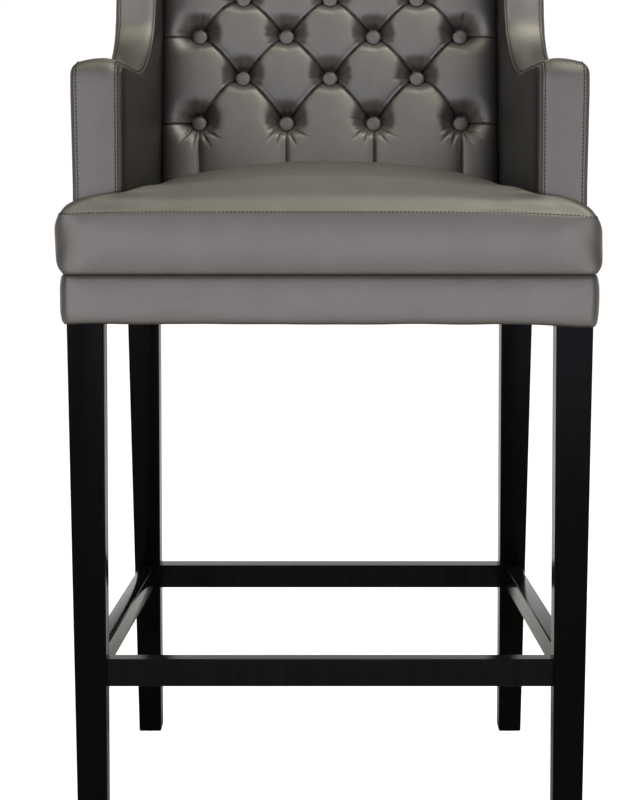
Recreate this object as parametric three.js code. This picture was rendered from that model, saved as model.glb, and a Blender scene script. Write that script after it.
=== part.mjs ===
import * as THREE from 'three';

// An armed bar stool: a deep-buttoned reclined back between slim wings that sweep down into low arms,
// a boxed T-shaped seat cushion, a padded apron, and a black base of tapered legs and four stretchers.
// Millimetres, +Z up, the front faces -Y. Left and right are as seen from the front, with +X to the right.
// Depths (y) are counted backwards from the front legs' front faces, and the finished group is centred.

// Small gap left between neighbouring pieces, and the easing of wooden edges.
const fitGap = 0.3;
const woodEasing = 2;

// Legs: square in section, inner faces upright, outer faces tapering to the feet.
const legLedgeHeight = 597;
const frontLegSpan = 486.4;
const frontLegWidth = 39.3;
const frontLegDepth = 40;
const frontFootWidth = 30.4;
const frontFootDepth = 31;
const rearLegInset = 18.8;
const rearLegSetback = 528.6;
const rearLegWidth = 40;
const rearLegDepth = 46;
const rearFootWidth = 28.1;
const rearFootDepth = 38;
const rearLegRake = 10;
const glideRadius = 9.5;
const glideHeight = 2.5;
const glideEasing = 0.8;
const glideSides = 20;

// Stretchers: a box of four, with their upper faces in one plane.
const stretcherTop = 225;
const frontStretcherHeight = 28.5;
const frontStretcherDepth = 20;
const sideStretcherHeight = 28.4;
const sideStretcherWidth = 19.6;
const sideStretcherInset = 7.5;
const rearStretcherHeight = 28;
const rearStretcherDepth = 33;

// Seat frame inside the padding.
const railHeight = 40;
const railThickness = 22;
const cornerBlockReach = 56;
const cornerBlockHeight = 30;
const deckThickness = 9;
const dustCoverThickness = 1;
const dustCoverLap = 9;

// Padded apron that wraps the seat frame and stands a little proud of the legs.
const apronStand = 4.6;
const apronDepth = 12;
const apronDrop = 3.6;

// Seat cushion.
const cushionSideOverhang = 5.1;
const cushionFrontOverhang = 13.4;
const cushionArmClearance = 1;
const cushionBoxHeight = 70;
const cushionShoulder = 16;
const cushionShoulderRun = 9;
const cushionCrown = 30;
const cushionSeamInset = 6.5;
const cushionBaseInset = 13;
const cushionCornerCut = 9;

// Arms and wings.
const armSetback = 19.5;
const armInset = 3.3;
const armThickness = 51;
const armInnerToeShare = 0.7354;
const armHeight = 224.4;
const armLowestDepth = 264;
const armSag = 4;
const armCornerRadius = 14;
const bandThickness = 8;
const bandCrown = 5.5;
const innerPadThickness = 11.5;
const outerPanelThickness = 12;

// Back.
const backHeight = 465.7;
const backPadDepth = 65;
const backInnerSlope = 0.19;
const backRearSlope = 0.08;
const backPanelThickness = 12;
const backBoardThickness = 6;
const postDepth = 31;
const postTopDepth = 22;
const backRailHeight = 48;
const lowerRailRise = 14;
const topBandThickness = 12;
const topBandCrown = 5;

// Deep buttoning.
const buttonSideMargin = 48.3;
const buttonRowShares = [0.347, 0.472, 0.588, 0.693, 0.792];
const buttonRadius = 9.5;
const buttonThickness = 7;
const buttonSides = 12;
const buttonShankRadius = 2.5;
const buttonShankLength = 4.5;
const buttonSeatRise = 1.4;
const tuftDepth = 16;
const tuftSpread = 21;
const pleatDepth = 9;
const pleatSpread = 12;
const pleatTailDrop = 62;

// Colours.
const lacquer = new THREE.MeshStandardMaterial({ color: 0x151313, roughness: 0.35, metalness: 0 });
const cloth = new THREE.MeshStandardMaterial({ color: 0x77726f, roughness: 0.5, metalness: 0 });
const rawWood = new THREE.MeshStandardMaterial({ color: 0xc9a878, roughness: 0.7, metalness: 0 });
const blackCloth = new THREE.MeshStandardMaterial({ color: 0x1c1b1b, roughness: 0.9, metalness: 0 });
const glidePlastic = new THREE.MeshStandardMaterial({ color: 0x262626, roughness: 0.5, metalness: 0 });

// Heights that several pieces share.
const railBase = legLedgeHeight + fitGap;
const railTop = railBase + railHeight;
const deckTop = railTop + deckThickness;
const upholsteryBase = deckTop + fitGap;
const cushionSeam = deckTop + cushionBoxHeight;
const armTop = deckTop + armHeight;
const backTop = deckTop + backHeight;

// Lines of the plan.
const frontLegInner = frontLegSpan / 2;
const frontLegOuter = frontLegInner + frontLegWidth;
const rearLegInner = frontLegInner - rearLegInset;
const rearLegOuter = rearLegInner + rearLegWidth;
const rearLegBack = rearLegSetback + rearLegDepth;
const sideToe = (frontLegOuter - rearLegOuter) / (rearLegBack - frontLegDepth);
const frameFront = apronDepth - apronStand + fitGap;
const frameBack = rearLegBack - frameFront;
const sideLine = (y) => frontLegOuter - sideToe * (y - frontLegDepth);
const railLine = (y) => sideLine(y) - frameFront;

// Lines of the arms, seen from above.
const armOuter = (y) => sideLine(y) - armInset;
const armInnerToe = armInnerToeShare * sideToe;
const armInner = (y) => armOuter(armSetback) - armThickness - armInnerToe * (y - armSetback);

// Lines of the back, seen from the side.
const backRear = (z) => rearLegBack + apronStand + backRearSlope * (z - deckTop);
const postBack = (z) => backRear(z) - backPanelThickness - fitGap;
const postTop = backTop - topBandThickness - fitGap;
const postDepthAt = (z) => THREE.MathUtils.mapLinear(z, deckTop, postTop, postDepth, postTopDepth);
const postFront = (z) => postBack(z) - postDepthAt(z);
const boardBack = (z) => postFront(z) - fitGap;
const boardFront = (z) => boardBack(z) - backBoardThickness;
const backFace = (z) => boardFront(deckTop) - backPadDepth + backInnerSlope * (z - deckTop);
const panelInner = (y) => armOuter(y) - outerPanelThickness - fitGap;
const postOuter = panelInner(postBack(postTop));

const stool = new THREE.Group();

function addSolid(name, solid, material) {
  const geometry = new THREE.BufferGeometry();
  geometry.setAttribute('position', new THREE.Float32BufferAttribute(solid.points.flat(), 3));
  geometry.setIndex(solid.faces.flat());
  geometry.computeVertexNormals();
  const mesh = new THREE.Mesh(geometry, material);
  mesh.name = name;
  stool.add(mesh);
}

// The same solid on the other side of the stool.
function mirrored(solid) {
  const points = solid.points.map(([x, y, z]) => [-x, y, z]);
  const faces = solid.faces.map(([a, b, c]) => [a, c, b]);
  return { points, faces };
}

function addPair(name, solid, material) {
  addSolid(`right_${name}`, solid, material);
  addSolid(`left_${name}`, mirrored(solid), material);
}

// A rectangle with eased corners, counter-clockwise.
function easedRectangle(a0, a1, c0, c1, easing) {
  return [
    [a0 + easing, c0],
    [a1 - easing, c0],
    [a1, c0 + easing],
    [a1, c1 - easing],
    [a1 - easing, c1],
    [a0 + easing, c1],
    [a0, c1 - easing],
    [a0, c0 + easing],
  ];
}

// The direction that a closed ring of points faces, as long as its area.
function ringNormal(ring) {
  const normal = new THREE.Vector3();
  ring.forEach((point, i) => {
    const here = new THREE.Vector3(...point);
    const next = new THREE.Vector3(...ring[(i + 1) % ring.length]);
    normal.add(here.cross(next));
  });
  return normal;
}

// Triangles that fill a flat ring, all facing the given way.
function fillRing(ring, first, facing) {
  const normal = ringNormal(ring).normalize();
  const across = new THREE.Vector3(...ring[1]).sub(new THREE.Vector3(...ring[0])).normalize();
  const up = normal.clone().cross(across);
  const flat = ring.map((point) => {
    const p = new THREE.Vector3(...point);
    return new THREE.Vector2(p.dot(across), p.dot(up));
  });
  const turned = normal.dot(facing) < 0;
  return THREE.ShapeUtils.triangulateShape(flat, []).map(([a, b, c]) => {
    const [pa, pb, pc] = [flat[a], flat[b], flat[c]];
    const upright = (pb.x - pa.x) * (pc.y - pa.y) - (pb.y - pa.y) * (pc.x - pa.x) > 0;
    return upright !== turned ? [first + a, first + b, first + c] : [first + a, first + c, first + b];
  });
}

// A closed solid through a row of rings that have the same number of points.
function loft(rings) {
  const count = rings[0].length;
  const along = new THREE.Vector3(...rings.at(-1)[0]).sub(new THREE.Vector3(...rings[0][0]));
  const withRings = ringNormal(rings[0]).dot(along) > 0;
  const faces = [];
  for (let k = 0; k < rings.length - 1; k += 1) {
    for (let i = 0; i < count; i += 1) {
      const a = k * count + i;
      const b = k * count + ((i + 1) % count);
      const quad = withRings ? [a, b, b + count, a + count] : [b, a, a + count, b + count];
      faces.push([quad[0], quad[1], quad[2]], [quad[0], quad[2], quad[3]]);
    }
  }
  faces.push(...fillRing(rings[0], 0, along.clone().negate()));
  faces.push(...fillRing(rings.at(-1), (rings.length - 1) * count, along));
  return { points: rings.flat(), faces };
}

// A solid between two upright side surfaces, from its outline seen from the side.
function sidePrism(outline, innerX, outerX) {
  const inner = outline.map(([y, z]) => [innerX(y), y, z]);
  const outer = outline.map(([y, z]) => [outerX(y), y, z]);
  return loft([inner, outer]);
}

// A solid of even height from its outline seen from above.
function planPrism(outline, base, top) {
  const ringAt = (z) => outline.map(([x, y]) => [x, y, z]);
  return loft([ringAt(base), ringAt(top)]);
}

// Legs
const frontLegFrontAt = (z) => (frontLegDepth - frontFootDepth) * (1 - z / legLedgeHeight);
const rearLegFrontAt = (z) => rearLegSetback + rearLegRake * (1 - z / legLedgeHeight);
const taper = (foot, top, z) => THREE.MathUtils.lerp(foot, top, z / legLedgeHeight);

function legRing(x0, x1, y0, y1, z, inset = 0) {
  const plan = easedRectangle(x0 + inset, x1 - inset, y0 + inset, y1 - inset, woodEasing);
  return plan.map(([x, y]) => [x, y, z]);
}

function frontLeg() {
  const ringAt = (z, inset) => {
    const outer = frontLegInner + taper(frontFootWidth, frontLegWidth, z);
    return legRing(frontLegInner, outer, frontLegFrontAt(z), frontLegDepth, z, inset);
  };
  const stubOuter = railLine(frontLegDepth);
  const stubAt = (z) => legRing(frontLegInner, stubOuter, frameFront, frontLegDepth, z);
  return loft([
    ringAt(glideHeight, woodEasing),
    ringAt(glideHeight + woodEasing, 0),
    ringAt(legLedgeHeight, 0),
    stubAt(legLedgeHeight),
    stubAt(railTop),
  ]);
}

// The rear legs run on upwards as the posts of the back.
function rearLeg() {
  const ringAt = (z, inset) => {
    const outer = rearLegInner + taper(rearFootWidth, rearLegWidth, z);
    const front = rearLegFrontAt(z);
    return legRing(rearLegInner, outer, front, front + taper(rearFootDepth, rearLegDepth, z), z, inset);
  };
  const postAt = (z, level) => legRing(rearLegInner, postOuter, postFront(level), postBack(level), z);
  return loft([
    ringAt(glideHeight, woodEasing),
    ringAt(glideHeight + woodEasing, 0),
    ringAt(legLedgeHeight, 0),
    postAt(legLedgeHeight, deckTop),
    postAt(deckTop, deckTop),
    postAt(postTop, postTop),
  ]);
}

function addGlide(name, x, y) {
  const profile = [
    new THREE.Vector2(0, 0),
    new THREE.Vector2(glideRadius - glideEasing, 0),
    new THREE.Vector2(glideRadius, glideEasing),
    new THREE.Vector2(glideRadius, glideHeight),
    new THREE.Vector2(0, glideHeight),
  ];
  const geometry = new THREE.LatheGeometry(profile, glideSides);
  geometry.rotateX(Math.PI / 2);
  const mesh = new THREE.Mesh(geometry, glidePlastic);
  mesh.name = name;
  mesh.position.set(x, y, 0);
  stool.add(mesh);
}

addPair('front_leg', frontLeg(), lacquer);
addPair('rear_leg', rearLeg(), lacquer);
const frontFootX = frontLegInner + frontFootWidth / 2;
const frontFootY = frontLegDepth - frontFootDepth / 2;
const rearFootX = rearLegInner + rearFootWidth / 2;
const rearFootY = rearLegFrontAt(0) + rearFootDepth / 2;
addGlide('right_front_glide', frontFootX, frontFootY);
addGlide('left_front_glide', -frontFootX, frontFootY);
addGlide('right_rear_glide', rearFootX, rearFootY);
addGlide('left_rear_glide', -rearFootX, rearFootY);

// Stretchers
function crossStretcher(reach, front, depth, height) {
  const section = easedRectangle(front, front + depth, stretcherTop - height, stretcherTop, woodEasing);
  return loft([-reach, reach].map((x) => section.map(([y, z]) => [x, y, z])));
}

function sideStretcher() {
  const base = stretcherTop - sideStretcherHeight;
  const section = easedRectangle(0, sideStretcherWidth, base, stretcherTop, woodEasing);
  const atFront = section.map(([x, z]) => [frontLegInner + sideStretcherInset + x, frontLegDepth, z]);
  const atRear = section.map(([x, z]) => [
    rearLegInner + sideStretcherInset + x,
    rearLegFrontAt(z) - fitGap,
    z,
  ]);
  return loft([atFront, atRear]);
}

const frontStretcherFront = (frontLegFrontAt(stretcherTop) + frontLegDepth - frontStretcherDepth) / 2;
const rearLegDepthAt = (z) => taper(rearFootDepth, rearLegDepth, z);
const rearStretcherFront =
  rearLegFrontAt(stretcherTop) + (rearLegDepthAt(stretcherTop) - rearStretcherDepth) / 2;
addSolid(
  'front_stretcher',
  crossStretcher(frontLegInner, frontStretcherFront, frontStretcherDepth, frontStretcherHeight),
  lacquer,
);
addSolid(
  'rear_stretcher',
  crossStretcher(rearLegInner, rearStretcherFront, rearStretcherDepth, rearStretcherHeight),
  lacquer,
);
addPair('stretcher', sideStretcher(), lacquer);

// Seat frame: rails between the legs, corner blocks, deck and dust cover.
const frontRailBack = frameFront + railThickness;
const rearRailFront = postBack(deckTop) - railThickness;
const sideRailEnd = postFront(deckTop) - fitGap;
const railInner = (y) => railLine(y) - railThickness;

function crossRail(reach, front, back) {
  const outline = [
    [-reach, front],
    [reach, front],
    [reach, back],
    [-reach, back],
  ];
  return planPrism(outline, railBase, railTop);
}

function sideRail() {
  const outline = [
    [railInner(frontLegDepth), frontLegDepth],
    [railLine(frontLegDepth), frontLegDepth],
    [railLine(sideRailEnd), sideRailEnd],
    [railInner(sideRailEnd), sideRailEnd],
  ];
  return planPrism(outline, railBase, railTop);
}

function frontCornerBlock() {
  const rear = frontLegDepth + cornerBlockReach;
  const outline = [
    [frontLegInner - cornerBlockReach, frontRailBack + fitGap],
    [frontLegInner - fitGap, frontRailBack + fitGap],
    [frontLegInner - fitGap, frontLegDepth + fitGap],
    [railInner(frontLegDepth) - fitGap, frontLegDepth + fitGap],
    [railInner(rear) - fitGap, rear],
  ];
  return planPrism(outline, railTop - cornerBlockHeight, railTop);
}

function rearCornerBlock() {
  const front = sideRailEnd - cornerBlockReach;
  const outline = [
    [rearLegInner - cornerBlockReach, rearRailFront - fitGap],
    [railInner(front) - fitGap, front],
    [railInner(sideRailEnd) - fitGap, sideRailEnd],
    [rearLegInner - fitGap, sideRailEnd],
    [rearLegInner - fitGap, rearRailFront - fitGap],
  ];
  return planPrism(outline, railTop - cornerBlockHeight, railTop);
}

// The outline of a board that fills the frame, from its right half.
function bothHalves(rightHalf) {
  return [...rightHalf, ...rightHalf.map(([x, y]) => [-x, y]).reverse()];
}

function seatDeck() {
  const back = boardFront(deckTop) - fitGap;
  const rightHalf = [
    [railLine(frontLegDepth), frameFront],
    [railLine(frontLegDepth), frontLegDepth],
    [railLine(back), back],
  ];
  return planPrism(bothHalves(rightHalf), railTop, deckTop);
}

function dustCover() {
  const legFront = rearLegFrontAt(legLedgeHeight);
  const lapAt = (y) => railInner(y) + dustCoverLap;
  const rightHalf = [
    [frontLegInner - fitGap, frameFront],
    [frontLegInner - fitGap, frontLegDepth + fitGap],
    [lapAt(frontLegDepth), frontLegDepth + fitGap],
    [lapAt(legFront), legFront - fitGap],
    [rearLegInner - fitGap, legFront - fitGap],
    [rearLegInner - fitGap, frameBack],
  ];
  return planPrism(bothHalves(rightHalf), railBase - dustCoverThickness, railBase);
}

addSolid('front_rail', crossRail(frontLegInner, frameFront, frontRailBack), rawWood);
addSolid('rear_rail', crossRail(rearLegInner, rearRailFront, postBack(deckTop)), rawWood);
addPair('side_rail', sideRail(), rawWood);
addPair('front_corner_block', frontCornerBlock(), rawWood);
addPair('rear_corner_block', rearCornerBlock(), rawWood);
addSolid('seat_deck', seatDeck(), rawWood);
addSolid('dust_cover', dustCover(), blackCloth);

// Apron: a bulging padded section that runs round the frame in four runs with mitred corners.
// Its lower lip wraps over the tops of the legs.
const apronHeight = deckTop - legLedgeHeight;
const apronLip = apronStand - fitGap;
const apronSection = [
  [apronLip, legLedgeHeight - apronDrop],
  [apronLip / 2, legLedgeHeight - apronDrop],
  [apronLip / 8, legLedgeHeight + apronHeight / 8],
  [0, legLedgeHeight + apronHeight / 3],
  [0, legLedgeHeight + (apronHeight * 2) / 3],
  [apronLip / 8, deckTop - apronHeight / 8],
  [apronLip, deckTop],
  [apronDepth, deckTop],
  [apronDepth, legLedgeHeight + fitGap],
  [apronLip, legLedgeHeight + fitGap],
];

// The right-hand corners of the apron's outer line drawn inwards by an inset.
const apronFrontCorner = (inset) => {
  const y = inset - apronStand;
  return [sideLine(y) + apronStand - inset, y];
};
const apronRearCorner = (inset) => {
  const y = rearLegBack + apronStand - inset;
  return [sideLine(y) + apronStand - inset, y];
};

function apronRun(startCorner, endCorner) {
  const rings = [[], []];
  apronSection.forEach(([inset, z]) => {
    const start = new THREE.Vector2(...startCorner(inset));
    const end = new THREE.Vector2(...endCorner(inset));
    const step = end.clone().sub(start).normalize().multiplyScalar(fitGap);
    start.add(step);
    end.sub(step);
    rings[0].push([start.x, start.y, z]);
    rings[1].push([end.x, end.y, z]);
  });
  return loft(rings);
}

const across = (corner) => (inset) => [-corner(inset)[0], corner(inset)[1]];
addSolid('apron_front', apronRun(across(apronFrontCorner), apronFrontCorner), cloth);
addSolid('apron_rear', apronRun(across(apronRearCorner), apronRearCorner), cloth);
addPair('apron', apronRun(apronFrontCorner, apronRearCorner), cloth);

// The edge of a patch of four-sided cells, counter-clockwise.
function boundaryLoop(cells) {
  const next = new Map();
  cells.forEach((cell) => {
    cell.forEach((a, i) => next.set(`${a},${cell[(i + 1) % 4]}`, [a, cell[(i + 1) % 4]]));
  });
  const after = new Map();
  next.forEach(([a, b]) => {
    if (!next.has(`${b},${a}`)) {
      after.set(a, b);
    }
  });
  const loop = [after.keys().next().value];
  while (after.get(loop.at(-1)) !== loop[0]) {
    loop.push(after.get(loop.at(-1)));
  }
  return loop;
}

// A pad with a shaped upper skin over a grid, side walls in levels and a flat base that fans out from a hub.
// The points are [u, v] and heights stand on them; place turns u, v and height into a place on the stool.
function gridPad(points, cells, topHeight, levels, hub, squeeze, place) {
  const loop = boundaryLoop(cells);
  const onLoop = new Set(loop);
  const used = [...new Set(cells.flat())];
  const order = new Map(used.map((id, i) => [id, i]));
  const skin = used.map((id) => {
    const [u, v] = points[id];
    const edge = onLoop.has(id);
    return [...(edge ? squeeze(u, v, levels[0].inset) : [u, v]), topHeight(u, v, edge)];
  });
  const faces = [];
  cells.forEach((cell) => {
    const [a, b, c, d] = cell.map((id) => order.get(id));
    const alongAC = skin[a][2] + skin[c][2] <= skin[b][2] + skin[d][2];
    const pair = alongAC ? [[a, b, c], [a, c, d]] : [[a, b, d], [b, c, d]];
    faces.push(...pair);
  });
  const all = [...skin];
  let ring = loop.map((id) => order.get(id));
  levels.slice(1).forEach((level) => {
    const first = all.length;
    loop.forEach((id) => {
      const [u, v] = squeeze(...points[id], level.inset);
      all.push([u, v, level.height(u, v)]);
    });
    const lower = loop.map((id, i) => first + i);
    loop.forEach((id, i) => {
      const j = (i + 1) % loop.length;
      faces.push([ring[i], lower[i], lower[j]], [ring[i], lower[j], ring[j]]);
    });
    ring = lower;
  });
  const hubHeight = levels.at(-1).height(hub[0], hub[1]);
  all.push([hub[0], hub[1], hubHeight]);
  ring.forEach((id, i) => {
    faces.push([id, all.length - 1, ring[(i + 1) % ring.length]]);
  });
  return { points: all.map(([u, v, h]) => place(u, v, h)), faces };
}

// Seat cushion
const cushionFront = -apronStand - cushionFrontOverhang;
const earHalf = sideLine(0) + apronStand + cushionSideOverhang;
const earBack = armSetback - bandCrown - cushionArmClearance;
const cushionBack = backFace(deckTop + cushionBoxHeight / 6) + cushionBaseInset / 5 - cushionArmClearance;
const bodyHalf = (y) => armInner(y) - cushionArmClearance;

function cushionGrid() {
  const acrossShares = [0, 0.18, 0.36, 0.54, 0.7, 0.83, 0.93, 1];
  const bodyShares = [0.04, 0.12, 0.22, 0.34, 0.46, 0.58, 0.7, 0.8, 0.89, 0.96, 1];
  const earRows = [0, 0.35, 0.7, 1].map((share) => THREE.MathUtils.lerp(cushionFront, earBack, share));
  const bodyRows = bodyShares.map((share) => THREE.MathUtils.lerp(earBack, cushionBack, share));
  const rows = [...earRows, ...bodyRows];
  const half = acrossShares.length - 1;
  const earColumns = [0.35, 0.7, 1];
  const xAt = (column, y) => {
    const step = Math.abs(column);
    const x = step <= half
      ? acrossShares[step] * bodyHalf(y)
      : THREE.MathUtils.lerp(bodyHalf(y), earHalf, earColumns[step - half - 1]);
    return Math.sign(column) * x;
  };
  const reach = half + earColumns.length;
  const width = 2 * reach + 1;
  const points = [];
  rows.forEach((y) => {
    for (let column = -reach; column <= reach; column += 1) {
      const atCorner = y === cushionFront && Math.abs(column) === reach;
      const cut = atCorner ? cushionCornerCut / 2 : 0;
      points.push([xAt(column, y) - Math.sign(column) * cut, y + cut]);
    }
  });
  const cells = [];
  for (let row = 0; row < rows.length - 1; row += 1) {
    for (let column = -reach; column < reach; column += 1) {
      const inBody = column >= -half && column < half;
      if (inBody || row < earRows.length - 1) {
        const a = row * width + column + reach;
        cells.push([a, a + 1, a + width + 1, a + width]);
      }
    }
  }
  return { points, cells };
}

// Draws the outline in by an inset, while the backs of the ears stay flat against the arms.
function cushionSqueeze(x, y, inset) {
  const body = bodyHalf(y);
  const drawn = Math.abs(x) <= body ? Math.abs(x) * (1 - inset / body) : Math.abs(x) - inset;
  const { mapLinear } = THREE.MathUtils;
  const along = y <= earBack
    ? mapLinear(y, cushionFront, earBack, cushionFront + inset, earBack)
    : mapLinear(y, earBack, cushionBack, earBack, cushionBack - inset);
  return [Math.sign(x) * drawn, along];
}

function cushionTop(x, y, onEdge) {
  if (onEdge) {
    return cushionSeam;
  }
  const onEar = Math.abs(x) > bodyHalf(y);
  const toSide = (onEar ? earHalf : bodyHalf(y)) - Math.abs(x);
  const toBack = (onEar ? earBack : cushionBack) - y;
  const sideRun = y < earBack ? earHalf - Math.abs(x) : toSide;
  const toEdge = Math.min(sideRun, y - cushionFront, toBack);
  const shoulder = cushionShoulder * (1 - Math.exp(-toEdge / cushionShoulderRun));
  const middle = (cushionFront + cushionBack) / 2;
  const lengthwise = (y - middle) / (cushionBack - middle);
  const sideways = Math.min(1, Math.abs(x) / bodyHalf(y));
  const crown = cushionCrown * (1 - sideways ** 2) * (1 - Math.abs(lengthwise) ** 2.4);
  return cushionSeam + shoulder + crown;
}

const cushionLevels = [
  { inset: cushionSeamInset, height: () => cushionSeam },
  { inset: cushionSeamInset / 4, height: () => cushionSeam - cushionBoxHeight / 6 },
  { inset: 0, height: () => cushionSeam - cushionBoxHeight / 2 },
  { inset: cushionBaseInset / 5, height: () => cushionSeam - (cushionBoxHeight * 5) / 6 },
  { inset: cushionBaseInset, height: () => upholsteryBase },
];
const cushion = cushionGrid();
const cushionHub = [0, (cushionFront + earBack) / 2];
const asGiven = (x, y, z) => [x, y, z];
addSolid(
  'seat_cushion',
  gridPad(cushion.points, cushion.cells, cushionTop, cushionLevels, cushionHub, cushionSqueeze, asGiven),
  cloth,
);

// Arms and wings: one path, seen from the side, runs up the arm's front, over its top and up the wing.
const bandEnd = postBack(postTop);
const wingDepthShares = [0, 0.256, 0.394, 0.431, 0.471, 0.54, 0.649, 0.793, 1];
const wingHeightShares = [0, 0.082, 0.22, 0.388, 0.584, 0.78, 0.918, 0.984, 1];

function armPath() {
  const corner = new THREE.EllipseCurve(
    armSetback + armCornerRadius,
    armTop - armCornerRadius,
    armCornerRadius,
    armCornerRadius,
    Math.PI,
    Math.PI / 2,
    true,
  );
  const lowest = armTop - armSag;
  const middleDepth = (armSetback + armCornerRadius + armLowestDepth) / 2;
  const armMiddle = new THREE.Vector2(middleDepth, armTop - armSag / 2);
  const wing = wingDepthShares.map((share, i) => new THREE.Vector2(
    THREE.MathUtils.lerp(armLowestDepth, bandEnd, share),
    THREE.MathUtils.lerp(lowest, backTop, wingHeightShares[i]),
  ));
  const start = new THREE.Vector2(armSetback, upholsteryBase);
  const cornerPoints = corner.getPoints(5);
  const sweep = new THREE.SplineCurve([cornerPoints.at(-1), armMiddle, ...wing]).getSpacedPoints(30);
  return [start, ...cornerPoints, ...sweep.slice(1)];
}

// Unit directions that point out of the arm at each point of its path.
function pathNormals(path) {
  return path.map((point, i) => {
    const before = path[Math.max(0, i - 1)];
    const after = path[Math.min(path.length - 1, i + 1)];
    const along = after.clone().sub(before).normalize();
    return new THREE.Vector2(-along.y, along.x);
  });
}

const path = armPath();
const normals = pathNormals(path);
normals[0].set(-1, 0);
normals[normals.length - 1].set(0, 1);

function armBand() {
  const acrossShares = [0, 0.12, 0.3, 0.5, 0.7, 0.88, 1];
  const section = acrossShares.map((share) => [share, bandCrown * (1 - (2 * share - 1) ** 4)]);
  section.push([1, -bandThickness], [0, -bandThickness]);
  const rings = path.map((point, i) => section.map(([share, height]) => {
    const y = point.x + normals[i].x * height;
    const z = point.y + normals[i].y * height;
    return [THREE.MathUtils.lerp(armInner(y), armOuter(y), share), y, z];
  }));
  return loft(rings);
}

// The outline of the layers inside the band, cut off along a sloping rear line.
function armLayer(rearLine) {
  const drop = bandThickness + fitGap;
  const inside = path.map((point, i) => [
    point.x - normals[i].x * drop,
    point.y - normals[i].y * drop,
  ]);
  const beyond = inside.findIndex(([y, z]) => y >= rearLine(z));
  const last = (beyond < 0 ? inside.length - 1 : beyond) - 1;
  const [y0, z0] = inside[last];
  const [y1, z1] = inside[last + 1];
  const over0 = rearLine(z0) - y0;
  const over1 = rearLine(z1) - y1;
  const share = over0 / (over0 - over1);
  const topZ = THREE.MathUtils.lerp(z0, z1, share);
  return [
    ...inside.slice(0, last + 1),
    [rearLine(topZ), topZ],
    [rearLine(upholsteryBase), upholsteryBase],
  ];
}

const frontOfBoard = (z) => boardFront(z) - fitGap;
const frontOfPanel = (z) => backRear(z) - backPanelThickness - fitGap;
const padOuter = (y) => armInner(y) + innerPadThickness;
const coreInner = (y) => padOuter(y) + fitGap;
const outerPanelInner = (y) => armOuter(y) - outerPanelThickness;
const panelOutline = armLayer(frontOfPanel);
const innerOutline = armLayer(frontOfBoard);
addPair('arm_band', armBand(), cloth);
addPair('arm_inner_pad', sidePrism(innerOutline, armInner, padOuter), cloth);
addPair('arm_frame', sidePrism(innerOutline, coreInner, panelInner), rawWood);
addPair('arm_outer_panel', sidePrism(panelOutline, outerPanelInner, armOuter), cloth);

// Back frame: two rails between the posts and the board that the buttons are tied through.
function backRail(base, top) {
  const outline = [
    [postFront(base), base],
    [postBack(base), base],
    [postBack(top), top],
    [postFront(top), top],
  ];
  return sidePrism(outline, () => -rearLegInner, () => rearLegInner);
}

function backBoard() {
  const outline = [
    [boardFront(upholsteryBase), upholsteryBase],
    [boardBack(upholsteryBase), upholsteryBase],
    [boardBack(postTop), postTop],
    [boardFront(postTop), postTop],
  ];
  return sidePrism(outline, () => -postOuter, () => postOuter);
}

function backPanel() {
  const easing = backPanelThickness / 3;
  const outline = [
    [backRear(upholsteryBase) - backPanelThickness, upholsteryBase],
    [backRear(upholsteryBase) - easing, upholsteryBase],
    [backRear(upholsteryBase + easing), upholsteryBase + easing],
    [backRear(backTop - easing), backTop - easing],
    [backRear(backTop) - easing, backTop],
    [backRear(backTop) - backPanelThickness, backTop],
  ];
  return sidePrism(outline, (y) => -armOuter(y), armOuter);
}

const lowerRailBase = deckTop + lowerRailRise;
addSolid('back_lower_rail', backRail(lowerRailBase, lowerRailBase + backRailHeight), rawWood);
addSolid('back_upper_rail', backRail(postTop - backRailHeight, postTop), rawWood);
addSolid('back_board', backBoard(), rawWood);
addSolid('back_outer_panel', backPanel(), cloth);

// The padded band over the upper edge of the back, between the wings.
function topBand() {
  const base = postTop + fitGap;
  const front = backFace(base);
  const depth = bandEnd - front;
  const outline = [
    [front, base],
    [bandEnd, base],
    [bandEnd, backTop],
    [bandEnd - depth / 4, backTop + topBandCrown * 0.8],
    [bandEnd - depth / 2, backTop + topBandCrown],
    [front + depth / 4, backTop + topBandCrown * 0.6],
    [front + depth / 12, backTop - topBandThickness / 4],
  ];
  const reach = (y) => armInner(y) - fitGap;
  return sidePrism(outline, (y) => -reach(y), reach);
}

addSolid('back_top_band', topBand(), cloth);

// Buttoned inner back
const buttonRows = buttonRowShares.map((share) => deckTop + share * backHeight);
const innerHalf = armInner(backFace(buttonRows[0]));
const buttonPitch = (innerHalf - buttonSideMargin) / 1.5;
const buttonPlaces = buttonRows.flatMap((z, row) => {
  const shifts = row % 2 === 0 ? [-1.5, -0.5, 0.5, 1.5] : [-1, 0, 1];
  return shifts.map((shift) => [shift * buttonPitch, z]);
});

// Pleats run between neighbouring buttons of two rows, out to the sides, down and up.
function pleatLines() {
  const lines = [];
  buttonPlaces.forEach(([x, z]) => {
    const row = buttonRows.indexOf(z);
    buttonPlaces.forEach(([otherX, otherZ]) => {
      const near = Math.abs(Math.abs(otherX - x) - buttonPitch / 2) < buttonPitch / 8;
      if (near && buttonRows.indexOf(otherZ) === row + 1) {
        lines.push([x, z, otherX, otherZ]);
      }
    });
    if (Math.abs(x) > buttonPitch * 1.25) {
      lines.push([x, z, Math.sign(x) * armInner(backFace(z)), z]);
    }
    if (row === 0) {
      lines.push([x, z, x, z - pleatTailDrop]);
    }
    if (row === buttonRows.length - 1) {
      lines.push([x, z, x, backTop]);
    }
  });
  return lines;
}

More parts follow.
